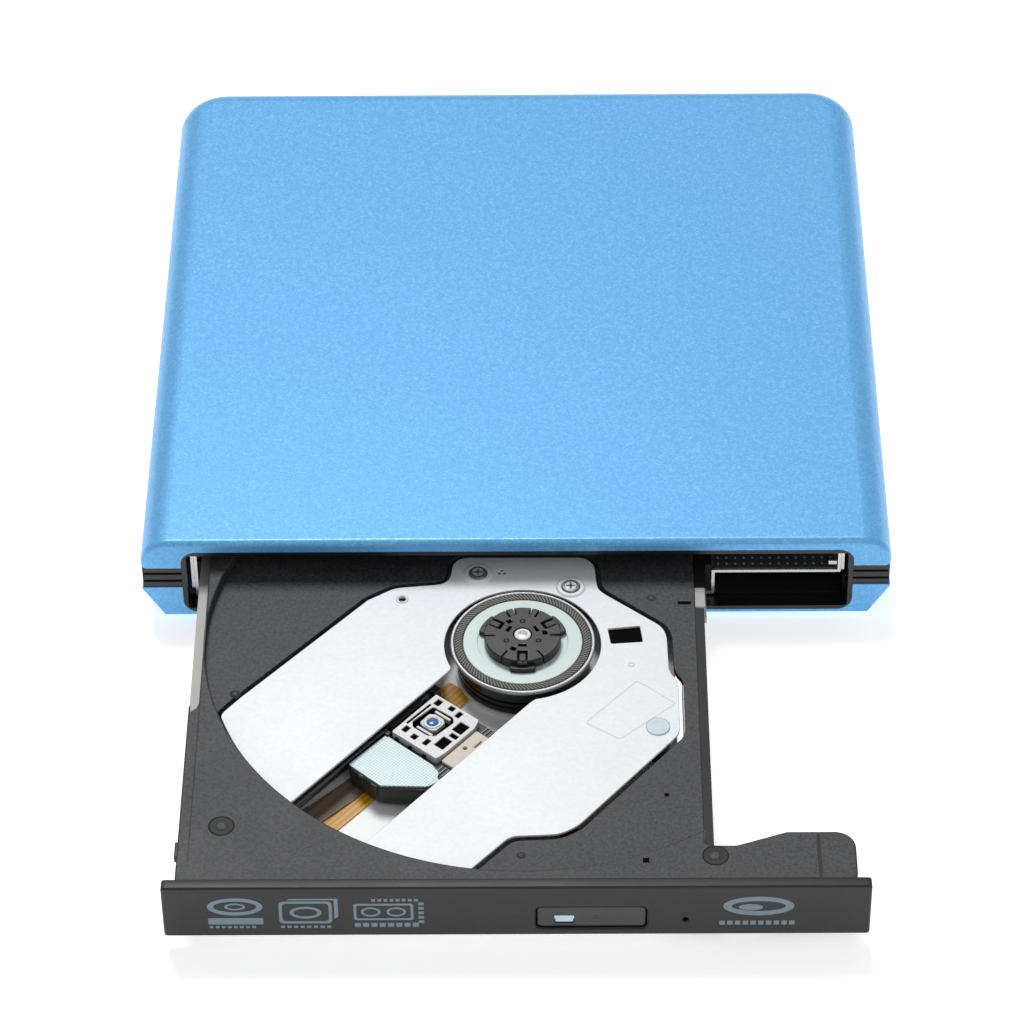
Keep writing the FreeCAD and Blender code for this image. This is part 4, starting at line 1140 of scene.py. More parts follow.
@dataclass
class Housing:
    """The blue shells, black band, front frame, feet, screws and inlet."""

    foot_radius: float = 4.0
    screw_radius: float = 2.0
    contact_count: int = 5
    contact_pitch: float = 0.8

    def build(self) -> None:
        """Builds and dresses the housing."""
        SHOP.dress(Finishes.SHELL, "top_shell", "bottom_shell")
        SHOP.dress(Finishes.BAND, "middle_band")
        SHOP.dress(Finishes.FRAME, "front_frame")
        self._feet()
        self._screws()
        self._inlet()

    def _feet(self) -> None:
        """Makes the four domed rubber feet."""
        a, b = low("rubber_feet"), high("rubber_feet")
        r = self.foot_radius
        foot = Maker.turned([(0, b.z), (r, b.z), (r, a.z + 0.35), (r - 0.15, a.z + 0.1),
                             (r - 0.4, a.z), (r - 1.0, a.z), (r - 1.2, a.z + 0.12),
                             (0, a.z + 0.12)], 48)
        spots = [(x, y, 0.0, 1.0) for x in (a.x + r, b.x - r) for y in (a.y + r, b.y - r)]
        SHOP.piece("feet_moulded", [Repeater.copies(foot, spots, Finishes.FOOT)], Place(),
                   "housing", Finishes.FOOT, ["rubber_feet"])

    def _screws(self) -> None:
        """Makes the closing screws, heads down in their pockets."""
        a, b = low("shell_screws"), high("shell_screws")
        r = self.screw_radius
        screw = Maker.turned([(0, a.z + 0.25), (0.5, a.z + 0.25), (0.9, a.z), (r - 0.2, a.z),
                              (r, a.z + 0.2), (r, a.z + 1.5), (0.95, a.z + 1.5), (0.95, b.z - 1),
                              (0, b.z)], 36)
        spots = [(x, (a.y + b.y) / 2, 0.0, 1.0) for x in (a.x + r, b.x - r)]
        SHOP.piece("closing_screws", [Repeater.copies(screw, spots, Finishes.SCREW)], Place(),
                   "housing", Finishes.SCREW, ["shell_screws"])

    def _inlet(self) -> None:
        """Dresses the inlet and lays its contacts on the tongue."""
        SHOP.dress(Finishes.STEEL, "usb_socket")
        a, b = low("usb_socket"), high("usb_socket")
        start = (a.x + b.x) / 2 - (self.contact_count - 1) / 2 * self.contact_pitch
        pin = Maker.block(-0.2, 0.2, b.y - 7.2, b.y - 2.0, a.z + 2.2, a.z + 2.32, 0.03)
        spots = [(start + i * self.contact_pitch, 0.0, 0.0, 1.0)
                 for i in range(self.contact_count)]
        SHOP.piece("inlet_contacts", [Repeater.copies(pin, spots, Finishes.COPPER)], Place(),
                   "housing", Finishes.COPPER)


@dataclass
class DriveCase:
    """The sheet-metal case seen in the opening, its liner, guides and rails."""

    pitch: float = 1.7
    rows: int = 12
    columns: int = 14
    dimple: float = 0.26
    bay_right: float = 64.2
    bay_back: float = 50.0
    bay_floor: float = 1.62
    bay_height: float = 6.9
    sheet: float = 0.3
    # How much of the right rail's front is left uncovered by the painted shade strip, and how far
    # the strip rises over the rail.
    unshaded_rail: float = 5.2
    shade_rise: float = 0.02

    def build(self) -> None:
        """Builds and dresses the case."""
        SHOP.dress(Finishes.STEEL, "drive_base_cover", "drive_top_cover", "cover_screws")
        SHOP.dress(Finishes.GUIDE_BLACK_AND_BAY_SHADE, "left_rail_guide", "right_rail_guide")
        SHOP.dress(Finishes.RAIL, "left_rail", "right_rail")
        SHOP.dress(Finishes.BROWN, "tray_flex")
        SHOP.dress(Finishes.LINER, "shelf_liner")
        front, back = low("right_rail"), high("right_rail")
        # Painted shade: a thin black strip over the right rail behind its front end stands in for
        # the shade inside the housing.
        rail_shade_strip = Maker.block(front.x + 0.04, back.x - 0.04, front.y + self.unshaded_rail, back.y - 0.2,
                             back.z - 0.2, back.z + self.shade_rise, 0)
        SHOP.piece("right_rail_sleeve", [rail_shade_strip], Place(), "right_rail_body", Finishes.SHADE)
        a, b = low("shelf_liner"), high("shelf_liner")
        net = Repeater.net(self.columns, self.rows, self.pitch, self.dimple, Finishes.DIMPLE)
        net.transform(Matrix.Translation(((a.x + b.x) / 2, a.y + 1.2 + self.pitch * (self.rows - 1)
                                          / 2, b.z)))
        SHOP.piece("liner_dimples", [net], Place(), "housing", Finishes.DIMPLE)
        self._bay()
        corner = high("drive_base_cover")
        tab = Maker.block(corner.x - 2.4, corner.x - 0.7, a.y + 0.4, a.y + 0.8, b.z + 0.4, b.z
                          + 1.4, 0.1)
        SHOP.piece("cover_tab", [tab], Place(), "housing", Finishes.STEEL)

    def _bay(self) -> None:
        """Lays black sheets over the floor, back and side of the open bay beside the tray, as
        painted shade for its dark inside.
        """
        step, shelf = low("shelf_liner"), high("shelf_liner")
        floor = low("bottom_shell").z + self.bay_floor
        left, right, front, back = step.x + 0.4, self.bay_right, step.y + 0.3, self.bay_back
        low_z = floor + 0.2
        # Painted shade: thin black sheets for the bay's floor, back wall and side wall.
        walls = [Maker.block(left, right, front, back, floor, floor + 0.25, 0.05),
                 Maker.block(left, right, back - self.sheet, back, low_z, shelf.z - 1.2, 0.05),
                 Maker.block(right - 0.1, right + self.sheet, front, back, low_z, self.bay_height,
                             0.05)]
        SHOP.piece("bay_lining", walls, Place(), "housing", Finishes.GUIDE_BLACK_AND_BAY_SHADE)


@dataclass
class Traverse:
    """The white plate and what it carries, about the disc axis."""

    SLED_ANGLE: ClassVar[float] = -130.0
    PLATE: ClassVar[Loop] = [(-12.5, -62.0), (-8.8, -57.6), (-2.2, -50.1), (6.7, -49.7),
                             (10.1, -47.7), (29.5, -24.0), (29.5, -10.2), (27.8, -7.7), (27.6, 2.2),
                             (26.7, 4.7), (15.4, 14.1), (14.4, 15.6), (13.9, 22.0), (12.1, 24.1),
                             (-12.0, 24.2), (-13.8, 22.2), (-13.9, 18.6), (-15.4, 16.7),
                             (-24.8, 15.7), (-30.0, 12.3), (-53.4, -14.2), (-62.0, -25.0),
                             (-62.0, -62.0)]
    RAISED: ClassVar[Loop] = [(-8.7, 19.5), (9.3, 15.6)]
    FLUSH: ClassVar[Point] = (25.4, -22.3)
    RECESS: ClassVar[float] = 60.6
    flush_scale: float = 1.3
    flush_drop: float = 0.45
    pit_depth: float = 1.2
    pit_scale: float = 0.85
    recess_edge: float = 59.9
    hole: float = 15.0
    slot_left: float = -6.1
    slot_right: float = 11.2

    def place(self) -> Place:
        """Gives the axes at the disc axis."""
        x, y = centre("turntable")
        return Place(x, y)

    def build(self) -> None:
        """Builds the plate and dresses what is under it."""
        self._plate()
        self._fasteners()
        self._markings()
        SHOP.dress(Finishes.CASTING, "traverse_frame")
        SHOP.dress(Finishes.FOOT, "damper_bushes")
        SHOP.dress(Finishes.GUN, "main_guide_shaft", "far_guide_shaft", "lead_screw")
        SHOP.dress(Finishes.CASTING, "shaft_holders", "stepper_motor")
        # The plates under the tray and motor get near-white metal: partly their own bright finish,
        # partly painted reflection.
        SHOP.dress(Finishes.FLOOR_PLATE_AND_REFLECTION, "tray_bottom_plate", "motor_base")

    def _pressed(self) -> Loop:
        """Cuts the sled's slot and the motor's round hole into the plate's outline.

        Returns:
            One closed outline, running in along the slot and round the hole.
        """
        outer = Outline.clipped(self.PLATE, self.recess_edge)
        angle = self.SLED_ANGLE
        left = math.degrees(math.asin(self.slot_left / self.hole))
        right = math.degrees(math.asin(self.slot_right / self.hole))
        edge_left = angle + math.degrees(math.asin(self.slot_left / self.recess_edge))
        edge_right = angle + math.degrees(math.asin(self.slot_right / self.recess_edge))
        body: Loop = []
        cut_done = False
        for x, y in outer:
            radius = math.hypot(x, y)
            around = math.degrees(math.atan2(y, x))
            on_arc = radius > self.recess_edge - 0.01
            if on_arc and edge_left < around < edge_right:
                if not cut_done:
                    cut_done = True
                    body += Outline.arc(0, 0, self.recess_edge, edge_left, edge_left, 0)
                    body += list(reversed(Outline.arc(0, 0, self.hole, angle + right, angle + left
                                                      + 360, 60)))
                    body += Outline.arc(0, 0, self.recess_edge, edge_right, edge_right, 0)
                continue
            body.append((x, y))
        return body

    def _plate(self) -> None:
        """Makes the white plate with its rounded corners and holes."""
        z0, z1 = low("traverse_plate").z, high("traverse_plate").z
        body = Outline.rounded(self._pressed(), 1.6)
        holes = [Outline.circle(x, y, 0.95, count=20) for x, y in self.RAISED + [self.FLUSH]]
        holes.append(Outline.rounded([(16.3, 4.1), (22.5, 4.9), (23.0, 0.5), (16.9, 0.0)], 0.3))
        holes.append(Outline.circle(-23.3, 12.5, 0.7, count=20))
        holes += [Outline.circle(-4.1 + dx, 20.1 + dy, 0.36, count=12)
                  for dx, dy in ((-0.5, -0.3), (0.5, -0.3), (0, 0.5))]
        SHOP.piece("plate_pressed", [Maker.flat([body] + holes, z0, z1, 0.1)], self.place(),
                   "tray_body", Finishes.PLATE, ["traverse_plate"])

    def _fasteners(self) -> None:
        """Makes the plate's bosses and cross-head screws, and the tray's two."""
        top = high("traverse_plate").z
        head = ScrewHead()
        place = self.place()
        floor = high("tray").z - self.pit_depth
        seats = [(x, y, top + 0.04, 1.0) for x, y in self.RAISED]
        sunk = [(*self.FLUSH, top - self.flush_drop, self.flush_scale)]
        pits = [(x - place.x, y - TraySet.axis_behind_panel(), floor, self.pit_scale)
                for x, y in TraySet.PITS]
        SHOP.piece("screw_heads",
                   [Repeater.copies(head.head(), seats + sunk + pits, Finishes.SCREW)], place,
                   "tray_body", Finishes.SCREW, ["tray_screws"])
        raised = seats + pits
        # Painted shade: dark crosses laid on the raised heads stand in for their shaded recesses.
        crosses: List[bpy.types.Mesh] = []
        for arm in head.cross():
            crosses.append(Repeater.copies(arm, raised, Finishes.CROSS_SHADE))
        SHOP.piece("screw_crosses", crosses, place, "tray_body", Finishes.CROSS_SHADE)
        rim = Maker.turned([(1.12, 0.5), (1.58, 0.42), (1.74, 0.22), (1.74, 0.02), (1.82, 0.02),
                            (1.82, 0.26), (1.6, 0.5), (1.12, 0.54)], 40)
        SHOP.piece("screw_rims", [Repeater.copies(rim, raised, Finishes.SCREW_RIM)], place,
                   "tray_body", Finishes.SCREW_RIM)
        cap = Maker.turned([(0, 0), (2.28, 0), (2.28, 0.16), (2.1, 0.22), (0, 0.22)], 44,
                           *self.FLUSH)
        cap.transform(Matrix.Translation((0, 0, top + 0.02)))
        ring = Maker.turned([(1.15, top + 0.2), (1.4, top + 0.2), (1.4, top + 0.26),
                             (1.15, top + 0.26)], 36, *self.FLUSH)
        SHOP.piece("flush_screw", [cap, ring], place, "tray_body", Finishes.FLUSH)
        boss = Maker.turned([(1.75, 0), (2.9, 0), (2.75, 0.2), (2.45, 0.32), (1.95, 0.32),
                             (1.75, 0.2)], 48)
        spots = [(x, y, top - 0.02, 1.0) for x, y in self.RAISED]
        SHOP.piece("screw_bosses", [Repeater.copies(boss, spots, Finishes.PLATE)], place,
                   "tray_body", Finishes.PLATE)

    def _markings(self) -> None:
        """Makes the thin embossed outline, the dimple and the collar of the threaded hole."""
        top = high("traverse_plate").z
        outer = Outline.rounded([(11.7, -21.2), (18.2, -25.6), (29.0, -16.2), (21.7, -9.9)], 0.8)
        inner = Outline.grown(outer, -0.18)
        line = Maker.flat([outer, inner], top - 0.02, top + 0.03, 0.0)
        collar = Maker.turned([(0.75, top - 0.05), (1.25, top - 0.05), (1.15, top + 0.15),
                               (0.8, top + 0.15)], 28, -23.3, 12.5)
        dimple = Maker.turned([(0.35, top - 0.05), (0.7, top - 0.05), (0.6, top + 0.08),
                               (0.4, top + 0.08)], 24, 20.7, -5.7)
        SHOP.piece("plate_markings", [line, collar, dimple], self.place(), "tray_body",
                   Finishes.MARKING)
        # Painted shade: a black sheet under the plate's window stands in for the dark space below
        # it.
        patch = Maker.block(16.0, 23.4, -0.4, 5.3, top - 0.58, top - 0.52, 0)
        SHOP.piece("window_dark", [patch], self.place(), "tray_body", Finishes.HOLE_SHADE)
        strip = Maker.block(30.2, 31.2, -25.5, -10.5, top - 3.2, top - 0.6, 0.2)
        SHOP.piece("side_strip", [strip], self.place(), "tray_body", Finishes.NICKEL)
        glimpse = Maker.block(28.7, 29.6, -6.4, -2.0, top - 2.4, top - 2.2, 0.05)
        SHOP.piece("side_ribbon", [glimpse], self.place(), "tray_body", Finishes.ORANGE)


@dataclass
class TraySet:
    """The tray, in axes at the middle of its front panel's face."""

    PITS: ClassVar[Loop] = [(-53.6, 16.7), (36.4, 8.9)]
    RUN_OUT: ClassVar[Tuple[float, float]] = (-140.5, -109.7)
    RUN_OUT_REACH: ClassVar[float] = 1.13
    left: float = -59.5
    right: float = 34.6
    flange: float = 1.9
    front: float = 2.55
    back: float = 123.6
    rim_low: float = 11.05
    rim_high: float = 13.4
    floor_low: float = 9.8
    floor_high: float = 11.0
    skirt_low: float = 3.4
    wall: float = 1.5

    @staticmethod
    def place() -> Place:
        """Gives the tray's axes."""
        return Place(0.0, low("front_bezel").y)

    @staticmethod
    def axis_behind_panel() -> float:
        """Gives how far the disc axis is behind the panel's face."""
        return centre("turntable")[1] - low("front_bezel").y

    def build(self) -> None:
        """Builds the tray and its small features."""
        self._tray()
        self._features()
        SHOP.dress(Finishes.BOARD, "main_board", "switch_board", "bridge_board", "drive_plug_board")
        SHOP.dress(Finishes.CHIP, "main_board_chips", "eject_switch", "bridge_chips",
                   "bridge_connector")
        SHOP.dress(Finishes.COPPER, "latch_coil", "motor_stator")
        SHOP.dress(Finishes.HUB, "latch_lever")

    def _rim_loops(self) -> List[Loop]:
        """Gives the rim's two outlines: the front and left, and the back right corner.

        Returns:
            The two outlines.
        """
        hx, hy = centre("turntable")[0], self.axis_behind_panel()
        r = Traverse.RECESS
        outer_left = self.left - self.flange
        start = -math.degrees(math.acos((self.right - hx) / r))
        back = math.degrees(math.asin((self.back - hy) / r))
        arc = Outline.arc(hx, hy, r, start, back - 180 - 2 * back, 150)
        main = [(outer_left, self.front), (61.4, self.front), (62.0, 4.6)]
        corner = Outline.arc(58.2, 11.0, 3.8, 0, 90, 8)
        neck = ([(50.0, 14.8)] + Outline.arc(50.0, 12.4, 2.4, 90, 110, 3)
                + [(41.2, 11.8), (40.2, 11.5), (35.4, 11.5), (self.right, 12.1)])
        step = [(self.left, self.back), (self.left, 48.5), (self.left - 0.4, 47.2),
                (outer_left + 0.6, 46.4), (outer_left, 45.4)]
        first = main + corner + neck + arc + step
        far = math.degrees(math.acos((self.right - hx) / r))
        second = ([(self.right, self.back)] + Outline.arc(hx, hy, r, back, far, 14))
        return [first, second]

    def _window(self) -> Loop:
        """Gives the window in the floor, wider under the rim where the sled runs out.

        Returns:
            The outline.
        """
        hx, hy = centre("turntable")[0], self.axis_behind_panel()
        hole = Outline.clipped(Outline.grown(Traverse.PLATE, 1.0), Traverse.RECESS, 80)
        hole = Outline.rounded(hole, 1.8)
        out: Loop = []
        for x, y in hole:
            around = math.degrees(math.atan2(y, x))
            at_rim = math.hypot(x, y) > Traverse.RECESS - 0.05
            runs_out = at_rim and self.RUN_OUT[0] < around < self.RUN_OUT[1]
            reach = self.RUN_OUT_REACH if runs_out else 1.0
            out.append((hx + x * reach, hy + y * reach))
        return out

    def _tray(self) -> None:
        """Makes the rim, floor and skirt as one moulding."""
        rims = [Maker.flat([loop], self.rim_low, self.rim_high, 0.3) for loop in self._rim_loops()]
        outline = Outline.box(self.left, self.right, self.front, self.back)
        floor = Maker.flat([outline, self._window()], self.floor_low, self.floor_high + 0.06, 0.12)
        lead = low("left_rail")
        t0, t1, depth = lead.z + 1.6, lead.z + 3.6, 0.45
        left = [(self.left, self.skirt_low), (self.left + self.wall, self.skirt_low),
                (self.left + self.wall, self.floor_low + 0.1), (self.left, self.floor_low + 0.1),
                (self.left, t1), (self.left + depth, t1), (self.left + depth, t0), (self.left, t0)]
        right = [(self.left + self.right - x, z) for x, z in reversed(left)]
        skirts = [Maker.upright([loop], self.front + 0.6, self.back, 0.08)
                  for loop in (left, right)]
        y0, y1, top = self.front, self.front + self.wall, self.floor_low + 0.1
        front = [Maker.block(self.left + self.wall - 0.1, 6.4, y0, y1, self.skirt_low, top),
                 Maker.block(15.8, self.right - self.wall + 0.1, y0, y1, self.skirt_low, top),
                 Maker.block(6.2, 16.0, y0, y1, 8.4, top)]
        SHOP.piece("tray_moulded", rims + [floor] + skirts + front, self.place(), "tray_body",
                   Finishes.TRAY, ["tray"], 40.0)

    def _features(self) -> None:
        """Makes the bumps, holes, screw pits and side clip."""
        top, floor = self.rim_high, self.floor_high + 0.06
        bump = Maker.turned([(0, 0.42), (0.45, 0.38), (0.85, 0.2), (1.05, 0), (1.05, -0.2),
                             (0, -0.2)], 28)
        spots = [(-53.0, 53.0, floor, 1.0), (26.3, 78.7, floor, 0.8), (1.15, 11.3, floor, 0.8)]
        SHOP.piece("tray_bumps", [Repeater.copies(bump, spots, Finishes.TRAY)], self.place(),
                   "tray_body", Finishes.TRAY)
        # Painted shade: dark rings and discs flush with the rim stand in for the shade inside the
        # two screw pits.
        pit = Maker.turned([(1.5, 0.02), (2.15, 0.02), (2.3, 0.1), (2.45, 0.02), (2.45, -0.1),
                            (1.5, -0.1)], 40)
        cup = Maker.turned([(0, 0.015), (2.1, 0.015), (2.1, -0.1), (0, -0.1)], 40)
        post = Maker.turned([(0, 0.16), (0.7, 0.14), (1.2, 0.05), (1.3, -0.05), (0, -0.05)], 30)
        pits = [(x, y, top, 1.0) for x, y in self.PITS]
        SHOP.piece("pit_rings", [Repeater.copies(pit, pits, Finishes.TRAY_CREASE_SHADE)], self.place(),
                   "tray_body", Finishes.TRAY_CREASE_SHADE)
        SHOP.piece("pit_cups", [Repeater.copies(cup, pits, Finishes.TRAY_CREASE_SHADE)], self.place(),
                   "tray_body", Finishes.TRAY_CREASE_SHADE)
        SHOP.piece("pit_posts", [Repeater.copies(post, pits, Finishes.TRAY)], self.place(),
                   "tray_body", Finishes.TRAY)
        # Painted shade: black plugs flush with the tray stand in for the dark inside its holes.
        holes = [Maker.block(23.2, 24.4, 7.2, 8.4, top - 0.2, top + 0.012, 0),
                 Maker.block(31.3, 33.9, 76.9, 77.8, floor - 0.2, floor + 0.012, 0),
                 *(Maker.turned([(0, floor + 0.012), (r, floor + 0.012), (r, floor - 0.2),
                                 (0, floor - 0.2)], 20, x, y)
                   for r, x, y in ((0.5, 28.0, 26.3), (0.6, 32.1, 15.2)))]
        SHOP.piece("tray_holes", holes, self.place(), "tray_body", Finishes.HOLE_SHADE)
        edge = self.left - self.flange
        clip = [Maker.block(edge - 0.5, edge + 0.4, 9.4, 13.2, 11.5, 13.0, 0.2),
                Maker.block(edge - 0.12, edge + 0.2, 3.4, 49.0, 11.4, 12.0, 0.06)]
        SHOP.piece("side_clip", clip, self.place(), "tray_body", Finishes.TRAY)
        # Painted shade under the right flange.
        lip = Maker.block(self.right - 0.05, self.right + self.flange - 0.15, 11.6, 76.0, 10.72,
                          11.05, 0.1)
        SHOP.piece("tray_lip", [lip], self.place(), "tray_body", Finishes.TRAY_CREASE_SHADE)
        # Painted shade: dark strips flush with the rim stand in for the groove and the gap by the
        # ear.
        groove = Maker.block(self.left + 0.1, self.left + 0.32, 8.0, 49.0, top - 0.1, top + 0.01, 0)
        ear = Maker.block(54.9, 55.6, 3.4, 14.2, top - 0.1, top + 0.008, 0)
        SHOP.piece("tray_grooves", [groove, ear], self.place(), "tray_body", Finishes.TRAY_CREASE_SHADE)


@dataclass
class FrontPanel:
    """The tray's front panel, eject button, window and printed marks."""

    ease: float = 0.4
    ink: float = 0.03
    face: float = 0.002

    def build(self) -> None:
        """Builds the panel and what is set in it."""
        self._panel()
        self._button()
        self._marks()

    def _panel(self) -> None:
        """Makes the panel with its button opening and pinhole."""
        a, b = low("front_bezel"), high("front_bezel")
        outline = Outline.rounded(Outline.box(a.x, b.x, a.z, b.z), 0.7)
        recess = Outline.rounded(Outline.box(3.66, 24.04, 3.58, 9.37), 1.3)
        pin = Outline.circle(30.85, 5.9, 0.5, count=20)
        panel = Maker.upright([outline, recess, pin], self.ink, b.y - a.y, self.ease)
        step = Maker.upright([Outline.rounded(Outline.box(3.3, 24.4, 3.2, 9.7), 1.4),
                              Outline.rounded(Outline.box(3.75, 23.95, 3.66, 9.29), 1.2)], 0.3,
                             2.45, 0.05)
        SHOP.piece("panel_moulded", [panel, step], TraySet.place(), "tray_body", Finishes.BEZEL,
                   ["front_bezel"])

    def _button(self) -> None:
        """Makes the button round its window, the window and the eject sign."""
        outline = Outline.rounded(Outline.box(4.05, 23.65, 3.95, 9.05), 0.9)
        window = Outline.rounded(Outline.box(7.2, 10.7, 4.8, 6.7), 0.3)
        face = Maker.upright([outline, window], 0.4, 1.7, 0.22)
        stem = Maker.block(13, 15, 1.6, 4.9, 6.0, 7.6, 0.1)
        SHOP.piece("button_moulded", [face, stem], TraySet.place(), "button", Finishes.BUTTON,
                   ["eject_button"])
        pane = Outline.rounded(Outline.box(7.32, 10.58, 4.92, 6.58), 0.25)
        SHOP.piece("window_pane", [Maker.upright([pane], 0.6, 2.9, 0.1)], TraySet.place(),
                   "tray_body", Finishes.LED, ["led_window"])
        sign = [Maker.upright([[(14.0, 6.3), (15.4, 6.3), (14.7, 7.0)]], 0.38, 0.45, 0.0),
                Maker.upright([Outline.box(14.0, 15.4, 5.8, 6.0)], 0.38, 0.45, 0.0)]
        SHOP.piece("eject_sign", sign, TraySet.place(), "button", Finishes.CASTING)

    @staticmethod
    def _ring(x: float, z: float, rx: float, rz: float, band: float) -> List[Loop]:
        """Gives an elliptical ring's two outlines."""
        return [Outline.circle(x, z, rx, rz), Outline.circle(x, z, rx - band, rz - band * 0.8)]

    @staticmethod
    def _dashes(x0: float, x1: float, z0: float, z1: float, pitch: float,
                fill: float = 0.6) -> List[Loop]:
        """Gives a row of plain dashes."""
        count = max(int((x1 - x0) / pitch), 1)
        return [Outline.box(x0 + i * pitch, x0 + i * pitch + pitch * fill, z0, z1)
                for i in range(count)]

    def _marks(self) -> None:
        """Prints four plain disc signs, none of them lettering."""
        groups: List[List[Loop]] = [self._ring(-50.5, 9.9, 5.0, 2.3, 1.1),
                                    self._ring(-50.5, 9.9, 1.9, 0.9, 0.5),
                                    [Outline.rounded(Outline.box(-55.5, -45.5, 5.2, 6.9), 0.3)]]
        groups.append([Outline.rounded(Outline.box(-42.6, -33.0, 5.4, 11.3), 1.1),
                       Outline.rounded(Outline.box(-42.0, -33.6, 6.0, 10.7), 0.8)])
        groups.append(self._ring(-37.8, 8.3, 2.9, 1.6, 0.75))
        groups.append([[(-32.6, 6.6), (-31.9, 7.2), (-31.9, 12.0), (-40.6, 12.0), (-41.2, 11.6),
                        (-32.6, 11.6)]])
        groups.append([Outline.rounded(Outline.box(-29.1, -18.3, 6.2, 10.6), 0.6),
                       Outline.rounded(Outline.box(-28.6, -18.8, 6.7, 10.1), 0.4)])
        groups.append(self._ring(-26.0, 8.4, 1.8, 1.2, 0.5))
        groups.append(self._ring(-21.4, 8.4, 1.8, 1.2, 0.5))
        groups.append(self._ring(44.0, 9.6, 6.4, 2.5, 1.5))
        groups.append([Outline.circle(42.6, 9.3, 2.2, 0.8)])
        meshes = [Maker.upright(group, self.face, self.ink + 0.02, 0.0) for group in groups]
        rows = (self._dashes(-55.3, -45.6, 4.2, 4.8, 1.1)
                + self._dashes(-42.4, -32.4, 4.2, 4.8, 1.2)
                + self._dashes(-29.0, -16.4, 4.4, 5.5, 1.5, 0.75)
                + self._dashes(-25.8, -17.0, 11.2, 11.9, 1.1)
                + self._dashes(37.0, 51.0, 4.6, 5.7, 1.4, 0.7))
        for z in (5.4, 6.6, 7.8, 9.0, 10.2):
            rows.append(Outline.box(-17.4, -16.4, z, z + 0.7))
        meshes += [Maker.upright([row], self.face, self.ink + 0.02, 0.0) for row in rows]
        SHOP.piece("panel_marks", meshes, TraySet.place(), "tray_body", Finishes.PRINT)


